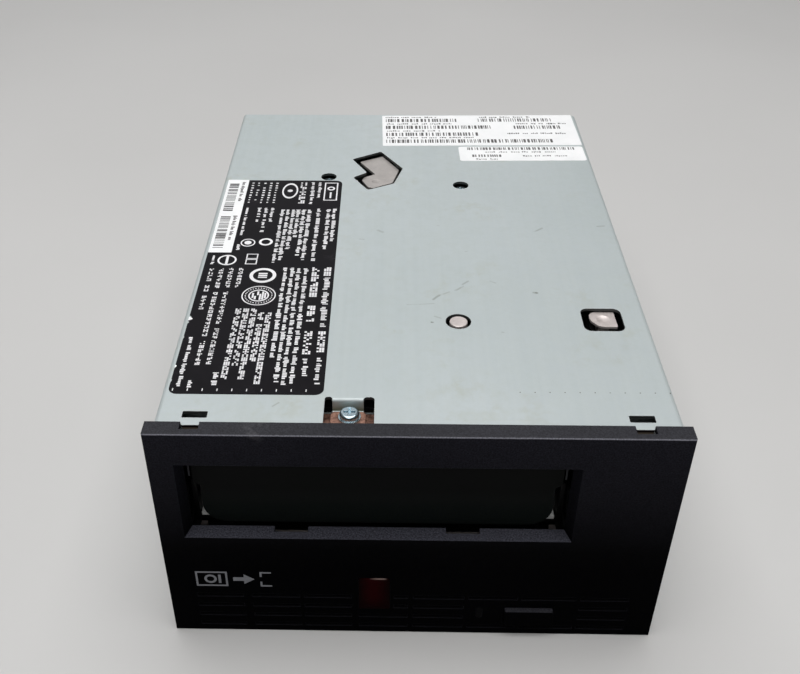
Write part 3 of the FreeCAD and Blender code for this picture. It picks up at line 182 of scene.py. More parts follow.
def scratch(M, pts, width, flat=True):
    """Mask of a thin irregular line through pts (mm, on the cover's top)."""
    p = M.vmath("MULTIPLY", M.co, (1, 1, 0))
    wob = M.noise(420, 3.0)
    total = None
    for (a, b) in zip(pts[:-1], pts[1:]):
        a3 = Vector((a[0] * MM, a[1] * MM, 0)); b3 = Vector((b[0] * MM, b[1] * MM, 0))
        d = b3 - a3
        q = M.vmath("SUBTRACT", p, tuple(a3))
        t = M.math("ADD", M.vmath("DOT_PRODUCT", q, tuple(d / d.length_squared)), 0.0, clamp=True)
        r = M.vmath("SUBTRACT", q, M.vmath("SCALE", tuple(d), scale=t))
        dist = M.vmath("LENGTH", r)
        m = M.range(dist, width * MM, width * 0.25 * MM)
        total = m if total is None else M.math("MAXIMUM", total, m)
    return M.math("MULTIPLY", total, M.range(wob, 0.30, 0.46))


def surface(name, col, rough, metal=0.0, var=0.10, vscale=45.0, rvar=0.06, grain=0.0, gscale=1500.0, bev=0.00018,
            tint=None, brushed=None, coat=0.0, spec=0.5, wear=None, **extra):
    """A general moulded, painted or machined finish: broad colour drift, fine grain, soft edges and light wear."""
    M = Mat(name)
    n1 = M.noise(vscale, 4.0, 0.6)
    n2 = M.noise(vscale * 7.3, 3.0, 0.55)
    fac = M.math("ADD", M.math("MULTIPLY", n1, 0.65), M.math("MULTIPLY", n2, 0.35))
    lo = tuple(c * (1 - var) for c in col[:3]) + (1,)
    hi = tuple(min(1, c * (1 + var)) for c in col[:3]) + (1,)
    if tint:
        hi = tint
    c = M.mix(M.range(fac, 0.38, 0.62), lo, hi)
    if wear:
        e = M.math("MULTIPLY", M.edge(0.0005), M.range(n2, 0.40, 0.62))
        c = M.mix(M.math("MULTIPLY", e, wear[1]), c, wear[0])
    M.put(M.b.inputs["Base Color"], c)
    M.put(M.b.inputs["Roughness"], M.range(n2, 0.3, 0.7, max(0.02, rough - rvar), min(1, rough + rvar)))
    M.b.inputs["Metallic"].default_value = metal
    M.b.inputs["Specular IOR Level"].default_value = spec
    if coat:
        M.b.inputs["Coat Weight"].default_value = coat
        M.b.inputs["Coat Roughness"].default_value = 0.15
    nrm = M.bevel(bev) if bev else None
    if brushed:
        st = M.noise(1.0, 2.0, 0.6, vec=M.map(scale=brushed))
        nrm = M.bump(st, 0.35, 0.00006, nrm)
    if grain:
        nrm = M.bump(M.noise(gscale, 2.0, 0.6), grain, 0.0001, nrm)
    if nrm is not None:
        M.normal(nrm)
    for k, v in extra.items():
        M.b.inputs[k.replace("_", " ")].default_value = v
    return M.m


# ================================================================ materials
def cover_steel():
    M = Mat("cover_steel")
    broad = M.noise(9.0, 3.0, 0.55)
    fine = M.noise(260.0, 4.0, 0.6)
    roll = M.noise(1.0, 3.0, 0.6, vec=M.map(scale=(520, 9, 520)))
    base = M.mix(M.range(broad, 0.35, 0.65), rgb(187, 196, 197), rgb(196, 204, 206))
    base = M.mix(M.math("MULTIPLY", M.range(fine, 0.42, 0.62), 0.22), base, rgb(182, 190, 187))
    base = M.mix(M.math("MULTIPLY", M.range(roll, 0.35, 0.65), 0.15), base, rgb(205, 211, 210))
    # thin olive bloom, in patches near the front and down the left
    bloom = M.math("MULTIPLY", M.range(M.noise(38.0, 5.0, 0.65), 0.53, 0.68), M.range(M.noise(210.0, 3.0, 0.6), 0.45, 0.62))
    base = M.mix(M.math("MULTIPLY", bloom, 0.30), base, rgb(170, 172, 152))
    # small dark specks
    v = M.voro(170.0)
    sep = M.n("ShaderNodeSeparateColor")
    M.ln(v.outputs["Color"], sep.inputs[0])
    rare = M.math("GREATER_THAN", sep.outputs[0], 0.955)
    dot = M.math("MULTIPLY", M.range(v.outputs["Distance"], 0.0011 * 45, 0.0003 * 45), rare)
    base = M.mix(M.math("MULTIPLY", dot, 0.35), base, rgb(110, 112, 104))
    # scuffs
    marks = [([(18.1, -26.5), (16.4, -28.2), (15.9, -29.1)], 0.50, 0.40),
             ([(16.2, -29.6), (14.2, -31.7), (13.0, -32.2)], 0.50, 0.38),
             ([(11.5, -33.0), (10.3, -33.8), (8.6, -34.8)], 0.45, 0.30),
             ([(8.3, -35.0), (7.4, -35.8), (6.2, -37.4)], 0.60, 0.50),
             ([(6.3, -39.7), (2.0, -40.2), (-2.3, -40.4)], 0.35, 0.25),
             ([(42.9, 5.5), (44.8, 6.8), (46.8, 8.5)], 0.55, 0.42),
             ([(66.8, 10.0), (69.3, 10.3)], 0.50, 0.38),
             ([(-12.2, 6.3), (-10.6, 5.1)], 0.80, 0.30),
             ([(39.0, -33.1), (40.1, -33.2)], 0.60, 0.95),
             ([(25.5, -26.4), (27.1, -27.5)], 0.45, 0.32),
             ([(-18.7, 0.2), (-17.2, 0.0)], 0.45, 0.34),
             ([(-40.6, -91.0), (-39.0, -89.4)], 0.35, 0.35),
             ([(5.3, -50.0), (5.6, -50.1)], 0.50, 1.00),
             ([(6.3, -46.8), (8.2, -47.8)], 0.40, 0.30),
             ([(26.8, -55.0), (27.3, -55.1)], 0.40, 0.30),
             ([(18.3, -7.8), (18.8, -7.8)], 0.50, 0.22),
             ([(9.2, 10.0), (9.6, 10.0)], 0.50, 0.18)]
    for pts, w, amt in marks:
        base = M.mix(M.math("MULTIPLY", scratch(M, pts, w), amt), base, rgb(112, 116, 106))
    e = M.math("MULTIPLY", M.edge(0.0004), 0.55)
    base = M.mix(e, base, rgb(212, 217, 216))
    # painted shade: the cut edges inside the windows and slots, darkened where shade falls in the openings
    inner = M.math("MULTIPLY", M.math("MULTIPLY", M.axis(0, -0.0722, -0.0720), M.axis(0, 0.0722, 0.0720)),
                   M.math("MULTIPLY", M.axis(1, -0.0972, -0.0970), M.axis(1, 0.1062, 0.1060)))
    cut_edge_shade = M.math("MULTIPLY", M.math("MULTIPLY", inner, M.height(0.0812, 0.0814)), M.upward(0.6, 0.3))
    tongue = M.math("MULTIPLY", M.math("MULTIPLY", M.axis(0, -0.0241, -0.0239), M.axis(0, -0.0150, -0.0152)), M.axis(1, -0.0868, -0.0870))
    cut_edge_shade = M.math("MULTIPLY", cut_edge_shade, M.math("SUBTRACT", 1.0, tongue))
    base = M.mix(M.math("MULTIPLY", cut_edge_shade, 0.93), base, rgb(26, 24, 22))
    # painted shade: the riser of the screw's tongue is darkened towards its foot
    riser_shade = M.math("MULTIPLY", M.math("MULTIPLY", tongue, M.upward(0.75, 0.35)), M.height(0.0822, 0.0788))
    base = M.mix(riser_shade, base, rgb(112, 116, 98))
    # painted shadow: the front faces of the hooks, dark at the top and brownish lower down, where they sit in the shade
    # of the panel's recesses
    hook_shadow = M.math("MULTIPLY", M.axis(1, -0.0984, -0.0986), M.upward(0.6, 0.3))
    base = M.mix(hook_shadow, base, M.mix(M.height(0.0814, 0.0817), rgb(132, 120, 106), rgb(26, 15, 13)))
    M.put(M.b.inputs["Base Color"], base)
    M.b.inputs["Metallic"].default_value = 0.25
    M.put(M.b.inputs["Roughness"], M.range(fine, 0.35, 0.65, 0.40, 0.50))
    nrm = M.bump(roll, 0.05, 0.00002, M.bevel(0.00025))
    M.normal(M.bump(fine, 0.05, 0.00003, nrm))
    return M.m


def bezel_plastic(name="bezel_plastic", button=False):
    M = Mat(name)
    broad = M.noise(14.0, 3.0, 0.5)
    grain = M.noise(2300.0, 2.0, 0.6)
    grain2 = M.noise(900.0, 2.0, 0.5)
    up = M.upward()
    # painted shade: the panel is darker towards its foot and lighter towards its top
    lower_shading_tone = M.mix(M.range(broad, 0.35, 0.65), rgb(3, 3, 4), rgb(5, 5, 6))
    upper_shading_tone = M.mix(M.range(broad, 0.35, 0.65), rgb(24, 24, 30), rgb(29, 29, 35))
    base = M.mix(M.height(0.038, 0.082), lower_shading_tone, upper_shading_tone)
    # painted light: faces that look up are lighter, as if lit from above
    up_face_shading = M.mix(M.range(broad, 0.35, 0.65), rgb(38, 38, 42), rgb(47, 47, 52))
    if not button:
        # painted light: the sill in the mouth is brighter still
        sill_painted_light = M.scaled(rgb(86, 87, 99)[:3], M.range(M.noise(1900.0, 2.0, 0.7), 0.40, 0.60, 0.45, 1.75))
        up_face_shading = M.mix(M.height(0.045, 0.036), up_face_shading, sill_painted_light)
        # painted shade: the up-facing lips down among the vent slots are dark
        up_face_shading = M.mix(M.height(0.030, 0.024), up_face_shading, rgb(15, 15, 17))
    base = M.mix(up, base, up_face_shading)
    # painted highlight along the rounded front edge of the top lip
    base = M.mix(M.math("MULTIPLY", M.rounded(), M.height(0.078, 0.081)), base, rgb(104, 104, 112))
    base = M.scaled(base, M.range(grain, 0.32, 0.68, 0.62, 1.5))
    # dust flecks, sparse
    v = M.voro(230.0)
    sep = M.n("ShaderNodeSeparateColor")
    M.ln(v.outputs["Color"], sep.inputs[0])
    rare = M.math("GREATER_THAN", sep.outputs[0], 0.985)
    dot = M.math("MULTIPLY", M.range(v.outputs["Distance"], 0.06, 0.02), rare)
    base = M.mix(M.math("MULTIPLY", dot, 0.3), base, rgb(110, 108, 112))
    # edges lightened: partly rubbed wear, partly a painted highlight
    e = M.math("MULTIPLY", M.edge(0.0005, 0.03, 0.3), 0.30)
    base = M.mix(e, base, rgb(52, 52, 60))
    # one pale handling mark on the top lip
    mark = M.math("MULTIPLY", M.range(M.vmath("DISTANCE", M.co, (-0.0445, -0.1010, 0.0832)), 0.0045, 0.0005),
                  M.range(M.noise(300.0, 3.0, 0.6), 0.45, 0.6))
    base = M.mix(M.math("MULTIPLY", mark, 0.35), base, rgb(120, 118, 122))
    M.put(M.b.inputs["Base Color"], base)
    M.put(M.b.inputs["Roughness"], M.range(grain2, 0.3, 0.7, 0.48, 0.60))
    M.put(M.b.inputs["Specular IOR Level"], M.math("MULTIPLY", M.range(up, 0.0, 1.0, 0.02, 0.18), M.axis(2, 0.030, 0.060, 0.2, 1.0)))
    nrm = M.bump(grain, 0.42, 0.00008, M.bevel(0.0003))
    M.normal(nrm)
    return M.m


def door_plastic():
    M = Mat("door_plastic")
    n1 = M.noise(20.0, 4.0, 0.6)
    base = M.mix(M.range(n1, 0.38, 0.62), rgb(5, 7, 6), rgb(7, 8, 8))
    # painted light: the door is lighter towards its foot
    base = M.mix(M.height(0.056, 0.044), base, rgb(23, 27, 26))
    base = M.scaled(base, M.range(M.noise(1400.0, 2.0, 0.6), 0.35, 0.65, 0.85, 1.15))
    e = M.math("MULTIPLY", M.edge(0.0005), 0.35)
    base = M.mix(e, base, rgb(26, 29, 27))
    M.put(M.b.inputs["Base Color"], base)
    M.put(M.b.inputs["Roughness"], M.range(n1, 0.3, 0.7, 0.30, 0.40))
    M.b.inputs["Specular IOR Level"].default_value = 0.04
    M.normal(M.bump(M.noise(1200.0, 2.0, 0.6), 0.05, 0.0001, M.bevel(0.0002)))
    return M.m


def red_window():
    M = Mat("red_window")
    # painted shade: the red is brightest in the upper centre and darker towards the sides and the bottom
    window_lit_centre = M.math("MULTIPLY", M.axis(0, -0.0165, -0.0132), M.axis(0, -0.0074, -0.0114))
    n1 = M.noise(160.0, 3.0, 0.5)
    base = M.mix(M.math("MULTIPLY", window_lit_centre, M.range(n1, 0.2, 0.8, 0.8, 1.0)), rgb(12, 3, 3), rgb(34, 2, 4))
    base = M.mix(M.height(0.0175, 0.0125), base, rgb(14, 2, 3))
    # painted glint along the top edge of the window
    painted_glint = M.math("MULTIPLY", M.math("MULTIPLY", M.upward(0.15, 0.6), M.height(0.0254, 0.0257)),
                 M.math("MULTIPLY", M.axis(0, -0.0134, -0.0112), M.axis(0, -0.0080, -0.0090)))
    base = M.mix(painted_glint, base, rgb(128, 110, 104))
    M.put(M.b.inputs["Base Color"], base)
    M.put(M.b.inputs["Roughness"], M.range(n1, 0.3, 0.7, 0.16, 0.26))
    M.b.inputs["Specular IOR Level"].default_value = 0.006
    M.normal(M.bevel(0.00022))
    return M.m


def rail_plastic():
    """The cartridge rails: pale at the foot, with painted shade higher up."""
    M = Mat("rail_plastic")
    n1 = M.noise(60.0, 4.0, 0.6)
    low = M.mix(M.range(n1, 0.38, 0.62), rgb(226, 226, 222), rgb(234, 234, 231))
    upper_shading_tone = M.mix(M.range(n1, 0.38, 0.62), rgb(52, 52, 51), rgb(66, 66, 64))
    # painted shade: darker above the foot
    base = M.mix(M.height(0.0505, 0.0480), upper_shading_tone, low)
    # painted shade: the front ends are darkened where the door shades them, all but the inner foot of each rail
    keep = M.math("MULTIPLY", M.axis(0, -0.0643, -0.0641), M.axis(0, 0.0420, 0.0418))
    front = M.math("MULTIPLY", M.axis(1, -0.086, -0.091), M.math("SUBTRACT", 1.0, keep))
    M.put(M.b.inputs["Base Color"], M.mix(front, base, rgb(9, 9, 9)))
    M.put(M.b.inputs["Roughness"], M.range(n1, 0.3, 0.7, 0.36, 0.46))
    M.b.inputs["Specular IOR Level"].default_value = 0.2
    M.normal(M.bump(M.noise(1500.0, 2.0, 0.6), 0.12, 0.0001, M.bevel(0.0002)))
    return M.m


def deck_cast():
    """The cast deck, with painted shade along its front where it can be seen under the door."""
    M = Mat("deck_cast")
    n1 = M.noise(70.0, 4.0, 0.6)
    base = M.mix(M.range(n1, 0.38, 0.62), rgb(168, 170, 174), rgb(186, 188, 192))
    # painted shade along the front, under the door
    base = M.mix(M.axis(1, -0.058, -0.068), base, rgb(7, 7, 8))
    M.put(M.b.inputs["Base Color"], base)
    M.put(M.b.inputs["Roughness"], M.range(n1, 0.3, 0.7, 0.36, 0.50))
    M.put(M.b.inputs["Metallic"], M.axis(1, -0.068, -0.058, 0.0, 0.85))
    M.normal(M.bump(M.noise(900.0, 2.0, 0.6), 0.40, 0.0001, M.bevel(0.0002)))
    return M.m


def vinyl(name, a, b, rough, edge_col=None, spec=0.3):
    M = Mat(name)
    n1 = M.noise(120.0, 4.0, 0.6)
    n2 = M.noise(900.0, 3.0, 0.6)
    base = M.mix(M.range(n1, 0.35, 0.65), a, b)
    scuff = M.math("MULTIPLY", M.range(M.noise(70.0, 4.0, 0.7), 0.56, 0.70), M.range(n2, 0.45, 0.65))
    base = M.mix(M.math("MULTIPLY", scuff, 0.35), base, edge_col or b)
    M.put(M.b.inputs["Base Color"], base)
    M.put(M.b.inputs["Roughness"], M.range(n1, 0.3, 0.7, rough - 0.05, rough + 0.07))
    M.b.inputs["Specular IOR Level"].default_value = spec
    M.normal(M.bump(M.noise(60.0, 3.0, 0.5), 0.06, 0.0002))
    return M.m


MAT = {
    "cover_steel": cover_steel(),
    "chassis_steel": surface("chassis_steel", rgb(186, 191, 190), 0.42, 0.55, 0.10, 30, 0.08, brushed=(30, 600, 30), wear=(rgb(215, 218, 218), 0.5)),
    "bezel_plastic": bezel_plastic(),
    "door_plastic": door_plastic(),
    "red_window": red_window(),
    "button_plastic": bezel_plastic("button_plastic", True),
    "rail_plastic": rail_plastic(),
    "deck_cast": deck_cast(),
    "display_black": surface("display_black", rgb(42, 38, 38), 0.45, 0.0, 0.12, 80, grain=0.2),
    "light_pipe": surface("light_pipe", rgb(4, 4, 5), 0.20, 0.0, 0.12, 90, 0.04, bev=0.0002, spec=0.02),
    "spring_steel": surface("spring_steel", rgb(170, 172, 176), 0.28, 0.95, 0.10, 300, grain=0.2, gscale=4000),
    "board_green": surface("board_green", rgb(24, 92, 52), 0.38, 0.0, 0.16, 120, 0.10, grain=0.25, gscale=1400, coat=0.3),
    "zinc_screw": surface("zinc_screw", rgb(190, 208, 216), 0.22, 0.95, 0.12, 200, 0.08, grain=0.15, gscale=3000, wear=(rgb(225, 232, 236), 0.6)),
    "copper_alloy": surface("copper_alloy", rgb(112, 78, 66), 0.46, 0.55, 0.35, 260, 0.12, grain=0.35, gscale=1800, tint=rgb(182, 138, 120)),
    "oiled_steel": surface("oiled_steel", rgb(44, 45, 48), 0.40, 0.6, 0.12, 300, grain=0.2, gscale=3000, spec=0.3),
    "dull_steel": surface("dull_steel", rgb(196, 190, 186), 0.38, 0.60, 0.10, 140, 0.08, grain=0.12, gscale=2500, brushed=(40, 900, 40)),
    "black_steel": surface("black_steel", rgb(30, 30, 30), 0.55, 0.2, 0.15, 60, grain=0.2, gscale=1500),
    "coated_steel": surface("coated_steel", rgb(10, 10, 10), 0.50, 0.1, 0.15, 60, grain=0.2, gscale=1500, spec=0.15),
    "bare_steel": surface("bare_steel", rgb(216, 206, 203), 0.42, 0.45, 0.10, 140, 0.08, grain=0.12, gscale=2500, brushed=(40, 900, 40)),
    "cast_aluminium": surface("cast_aluminium", rgb(176, 178, 182), 0.42, 0.85, 0.10, 70, 0.10, grain=0.45, gscale=900),
    "rubber_black": surface("rubber_black", rgb(30, 30, 31), 0.80, 0.0, 0.15, 90, grain=0.4, gscale=1400),
    "connector_black": surface("connector_black", rgb(34, 34, 36), 0.46, 0.0, 0.12, 80, grain=0.2, gscale=1800),
    "connector_white": surface("connector_white", rgb(222, 219, 208), 0.42, 0.0, 0.05, 60, grain=0.15, gscale=1500),
    "white_plastic": surface("white_plastic", rgb(214, 214, 210), 0.40, 0.0, 0.05, 60, grain=0.12, gscale=1500),
    "black_acetal": surface("black_acetal", rgb(9, 9, 10), 0.45, 0.0, 0.08, 60, grain=0.15, spec=0.15),
    "gear_plastic": surface("gear_plastic", rgb(214, 204, 176), 0.42, 0.0, 0.06, 60, grain=0.15, Subsurface_Weight=0.0),
    "motor_steel": surface("motor_steel", rgb(172, 174, 178), 0.30, 0.90, 0.08, 90, 0.06, grain=0.15, brushed=(700, 700, 14)),
    "copper_winding": surface("copper_winding", rgb(160, 84, 48), 0.35, 0.35, 0.20, 350, grain=0.5, gscale=2600),
    "reel_plastic": surface("reel_plastic", rgb(52, 52, 55), 0.36, 0.0, 0.10, 60, grain=0.15),
    "ceramic_head": surface("ceramic_head", rgb(62, 58, 58), 0.16, 0.0, 0.20, 200, coat=0.4),
}
SLOT = {s["node"]: s["material_slot"] for s in frame["record"]["subparts"]}
SPECIAL = {"chevron_pad": "dull_steel", "eject_button": "button_plastic", "tray_guide_left": "rail_plastic",
           "tray_guide_right": "rail_plastic", "door_springs": "oiled_steel", "tray_pan": "coated_steel", "deck_plate": "deck_cast",
           "loader_frame_left": "oiled_steel", "loader_frame_right": "oiled_steel"}
for name, ob in NODES.items():
    ob.data.materials.clear()
    ob.data.materials.append(MAT[SPECIAL.get(name, SLOT[name])])

LAB_BLACK = vinyl("label_black", rgb(15, 13, 17), rgb(21, 19, 23), 0.42, rgb(62, 58, 64), 0.10)
LAB_WHITE = vinyl("label_white", rgb(244, 245, 246), rgb(250, 250, 251), 0.50, rgb(234, 233, 232))
INK_LIGHT = vinyl("ink_light", rgb(226, 225, 228), rgb(242, 241, 243), 0.55, rgb(196, 192, 198))
INK_DARK = vinyl("ink_dark", rgb(30, 28, 30), rgb(44, 42, 44), 0.55, rgb(80, 76, 72))
INK_GREY = vinyl("ink_grey", rgb(84, 82, 82), rgb(104, 102, 102), 0.55, rgb(136, 134, 132))
INK_PANEL = vinyl("ink_panel", rgb(112, 113, 118), rgb(126, 127, 132), 0.50, rgb(82, 82, 88), 0.1)
DOT_DARK = vinyl("dot_dark", rgb(84, 84, 80), rgb(120, 120, 114), 0.55, rgb(150, 150, 144))


# ================================================================ mesh helpers (millimetres in, metres out)
def finish_mesh(name, bm, mat, body):
    me = bpy.data.meshes.new(name)
    bmesh.ops.recalc_face_normals(bm, faces=bm.faces)
    bm.to_mesh(me)
    bm.free()
    me.transform(Matrix.Scale(MM, 4))
    ob = bpy.data.objects.new(name, me)
    bpy.context.scene.collection.objects.link(ob)
    me.materials.append(mat)
    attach(ob, body)
    return ob


def add_box(bm, x0, x1, y0, y1, z0, z1, rot=None):
    vs = [Vector(p) for p in ((x0, y0, z0), (x1, y0, z0), (x1, y1, z0), (x0, y1, z0), (x0, y0, z1), (x1, y0, z1), (x1, y1, z1), (x0, y1, z1))]
    if rot:
        vs = [rot(v) for v in vs]
    v = [bm.verts.new(p) for p in vs]
    for f in ((3, 2, 1, 0), (4, 5, 6, 7), (0, 1, 5, 4), (1, 2, 6, 5), (2, 3, 7, 6), (3, 0, 4, 7)):
        bm.faces.new([v[i] for i in f])


def add_plate(bm, pts, z0, z1, rot=None):
    lo = [Vector((x, y, z0)) for x, y in pts]
    hi = [Vector((x, y, z1)) for x, y in pts]
    if rot:
        lo = [rot(p) for p in lo]
        hi = [rot(p) for p in hi]
    a = [bm.verts.new(p) for p in lo]
    b = [bm.verts.new(p) for p in hi]
    n = len(pts)
    bm.faces.new(list(reversed(a)))
    bm.faces.new(b)
    for i in range(n):
        bm.faces.new([a[i], a[(i + 1) % n], b[(i + 1) % n], b[i]])


def add_ring(bm, cx, cy, ro, ri, z0, z1, rot=None, n=40, sx=1.0, sy=1.0, a0=0.0, a1=360.0):
    full = abs(a1 - a0) >= 360
    k = n if full else n + 1
    rows = []
    for i in range(k):
        a = math.radians(a0 + (a1 - a0) * i / n)
        row = []
        for r, z in ((ri, z0), (ro, z0), (ro, z1), (ri, z1)):
            p = Vector((cx + r * sx * math.cos(a), cy + r * sy * math.sin(a), z))
            row.append(bm.verts.new(rot(p) if rot else p))
        rows.append(row)
    m = k if full else k - 1
    for i in range(m):
        a, b = rows[i], rows[(i + 1) % k]
        for j in range(4):
            bm.faces.new([a[j], a[(j + 1) % 4], b[(j + 1) % 4], b[j]])
    if not full:
        bm.faces.new(list(reversed(rows[0])))
        bm.faces.new(rows[-1])


def add_disc(bm, cx, cy, r, z0, z1, rot=None, n=28, sx=1.0, sy=1.0):
    add_plate(bm, [(cx + r * sx * math.cos(2 * math.pi * i / n), cy + r * sy * math.sin(2 * math.pi * i / n)) for i in range(n)], z0, z1, rot)


def round_rect(x0, x1, y0, y1, r, n=6):
    pts = []
    for cx, cy, a in ((x1 - r, y1 - r, 0), (x0 + r, y1 - r, 90), (x0 + r, y0 + r, 180), (x1 - r, y0 + r, 270)):
        for i in range(n + 1):
            t = math.radians(a + 90.0 * i / n)
            pts.append((cx + r * math.cos(t), cy + r * math.sin(t)))
    return pts


def turn(deg, cx, cy):
    m = Matrix.Translation((cx, cy, 0)) @ Matrix.Rotation(math.radians(deg), 4, "Z") @ Matrix.Translation((-cx, -cy, 0))
    return lambda p: m @ p


# ================================================================ labels on the cover
ZC = 82.5
Z1 = ZC + 0.09      # top of the black label
Z2 = Z1 + 0.03      # top of its print
rnd = random.Random(7)

# black label: rounded corners, a few chips along its left edge
XL, XR, YB, YT = -71.2, -26.6, -86.0, 44.1
pts = round_rect(XL, XR, YB, YT, 2.6)
chips = {17.5: 0.0, -49.5: 1.3, -48.3: 0.9, -51.0: 0.5, -59.0: 0.25, -73.5: 0.35, -80.0: 0.25}
ys = sorted(set([YT - 2.6, -9.0] + [yy for yy in chips] + [yy + 0.9 for yy in chips] + [yy - 0.9 for yy in chips] + [YB + 2.6]), reverse=True)
tl = [p for p in pts if p[0] <= XL + 3 and p[1] > 0]
bl = [p for p in pts if p[0] <= XL + 3 and p[1] <= 0]
tr = [p for p in pts if p[0] > XL + 3 and p[1] > 0]
br = [p for p in pts if p[0] > XL + 3 and p[1] <= 0]
edge = [(XL + chips.get(yy, 0.0), yy) for yy in ys[1:-1]]
outline = tr + tl + edge + bl + br
bm = bmesh.new()
add_plate(bm, outline, ZC - 0.02, Z1)
finish_mesh("label_black", bm, LAB_BLACK, "drive")


def line_of_blocks(bm, xc, y0, y1, h, z0, z1, dens=1.0, word=(1.6, 5.2), gap=0.75, w=(0.34, 0.80), g=0.20):
    """Illegible print: words of small uneven blocks. Runs towards -Y, tops towards +X."""
    y = y0
    left = rnd.uniform(*word)
    while y > y1 + 0.3:
        if left <= 0:
            y -= gap * rnd.uniform(0.8, 1.5)
            left = rnd.uniform(*word)
        bw = rnd.uniform(*w)
        if y - bw < y1:
            break
        top = h * 0.60 if rnd.random() < 0.34 else h * rnd.uniform(0.26, 0.36)
        bot = -h * 0.58 if rnd.random() < 0.18 else -h * 0.36
        if rnd.random() < dens:
            add_box(bm, xc + bot, xc + top, y - bw, y, z0, z1)
        y -= bw + g
        left -= bw + g


def tile_marks(bm, xc, y0, y1, size, z0, z1, step=None, skip=0.0):
    """Square marks of four to six small cells, with random cells left out."""
    step = step or size * 1.14
    y = y0
    while y - size > y1 - 0.05:
        if rnd.random() >= skip:
            n = 3
            c = size / n
            for i in range(n):
                for j in range(n):
                    if rnd.random() < 0.70:
                        add_box(bm, xc - size / 2 + i * c, xc - size / 2 + (i + 0.84) * c, y - (j + 0.86) * c, y - j * c, z0, z1)
        y -= step


def PX(px):
    return -73.0 + px / 12.0


def PY(row):
    return 45.0 - row / 12.0


bm = bmesh.new()
za, zb = Z1 - 0.01, Z2
# generic cartridge mark in the head of the label
cx, cy = PX(508), PY(118)
for (x0, x1, y0, y1) in ((cx - 2.6, cx + 2.6, cy + 6.6, cy + 7.1), (cx - 2.6, cx + 2.6, cy - 7.1, cy - 6.6),
                         (cx - 2.6, cx - 2.1, cy - 6.6, cy + 6.6), (cx + 2.1, cx + 2.6, cy - 6.6, cy + 6.6)):
    add_box(bm, x0, x1, y0, y1, za, zb)
add_ring(bm, cx, cy + 2.4, 1.5, 0.8, za, zb)
add_box(bm, cx - 0.35, cx + 0.35, cy - 5.2, cy - 0.6, za, zb)
# first block
for px, r0, r1, h in ((455, 30, 185, 1.35), (423, 30, 240, 1.35)):
    line_of_blocks(bm, PX(px), PY(r0), PY(r1), h, za, zb)
tile_marks(bm, PX(380), PY(32), PY(240), 2.5, za, zb, 2.85)
add_ring(bm, PX(320), PY(113), 6.1, 4.9, za, zb, sx=0.50, sy=1.0, n=48)
add_disc(bm, PX(320), PY(113), 1.0, za, zb)
for px in (255, 227, 199, 171, 143):
    for k in range(9):
        if rnd.random() < 0.85:
            yy = PY(36 + 23 * k)
            add_box(bm, PX(px) - 0.5, PX(px) + rnd.uniform(0.1, 0.5), yy - rnd.uniform(0.5, 1.0), yy, za, zb)
# second block
for px, r0, r1 in ((532, 280, 560), (506, 285, 630), (462, 280, 720), (421, 290, 715), (397, 290, 685), (372, 290, 535), (350, 290, 630), (326, 290, 720), (302, 290, 735)):
    line_of_blocks(bm, PX(px), PY(r0), PY(r1), 1.45, za, zb)
for px, r0, r1 in ((255, 275, 420), (227, 275, 490), (197, 275, 405), (143, 275, 515)):
    line_of_blocks(bm, PX(px), PY(r0), PY(r1), 1.25, za, zb, dens=0.85)
add_ring(bm, PX(180), PY(575), 2.6, 2.15, za, zb)
add_disc(bm, PX(180), PY(575), 1.25, za, zb)
add_ring(bm, PX(255), PY(568), 2.45, 1.55, za, zb)
line_of_blocks(bm, PX(143), PY(590), PY(640), 1.0, za, zb)
add_ring(bm, PX(110), PY(714), 3.3, 2.65, za, zb)
add_box(bm, PX(110) - 0.45, PX(110) + 0.45, PY(714) - 2.8, PY(714) + 2.8, za, zb)
# two small open squares
for yy in (PY(684), PY(726)):
    for q in ((-2.0, 2.0, 1.2, 1.6), (-2.0, 2.0, -1.6, -1.2), (-2.0, -1.6, -1.2, 1.2), (1.6, 2.0, -1.2, 1.2)):
        add_box(bm, PX(211) + q[0], PX(211) + q[1], yy + q[2], yy + q[3], za, zb)
line_of_blocks(bm, PX(52), PY(680), PY(750), 1.1, za, zb)
# third block: head lines
tile_marks(bm, PX(530), PY(766), PY(832), 2.5, za, zb, 2.75)
line_of_blocks(bm, PX(529), PY(842), PY(1180), 1.9, za, zb, w=(0.32, 0.75), g=0.30, word=(3.5, 9.0), gap=1.2)
tile_marks(bm, PX(532), PY(1206), PY(1352), 2.4, za, zb, 2.75)
line_of_blocks(bm, PX(529), PY(1366), PY(1520), 1.6, za, zb, w=(0.3, 0.8), g=0.35)
for a, b_ in ((766, 982), (1040, 1172), (1206, 1362)):
    tile_marks(bm, PX(482), PY(a), PY(b_), 2.6, za, zb, 3.05)
line_of_blocks(bm, PX(482), PY(1372), PY(1482), 1.6, za, zb, w=(0.3, 0.8), g=0.35)
for px, r0, r1 in ((441, 775, 1520), (412, 775, 1520), (386, 770, 1515), (358, 770, 1385)):
    line_of_blocks(bm, PX(px), PY(r0), PY(r1), 1.45, za, zb)
add_ring(bm, PX(270), PY(828), 4.5, 3.3, za, zb)
for k in (-1, 0, 1):
    add_box(bm, PX(270) - 1.5, PX(270) + 1.5, PY(828) + k * 1.15 - 0.38, PY(828) + k * 1.15 + 0.38, za, zb)
add_ring(bm, PX(269), PY(972), 5.6, 5.2, za, zb, n=56)
for k in range(30):
    a = 2 * math.pi * k / 30
    add_disc(bm, PX(269) + 4.35 * math.cos(a), PY(972) + 4.35 * math.sin(a), 0.24, za, zb, n=8)
add_ring(bm, PX(269), PY(972), 3.4, 2.9, za, zb, n=40)
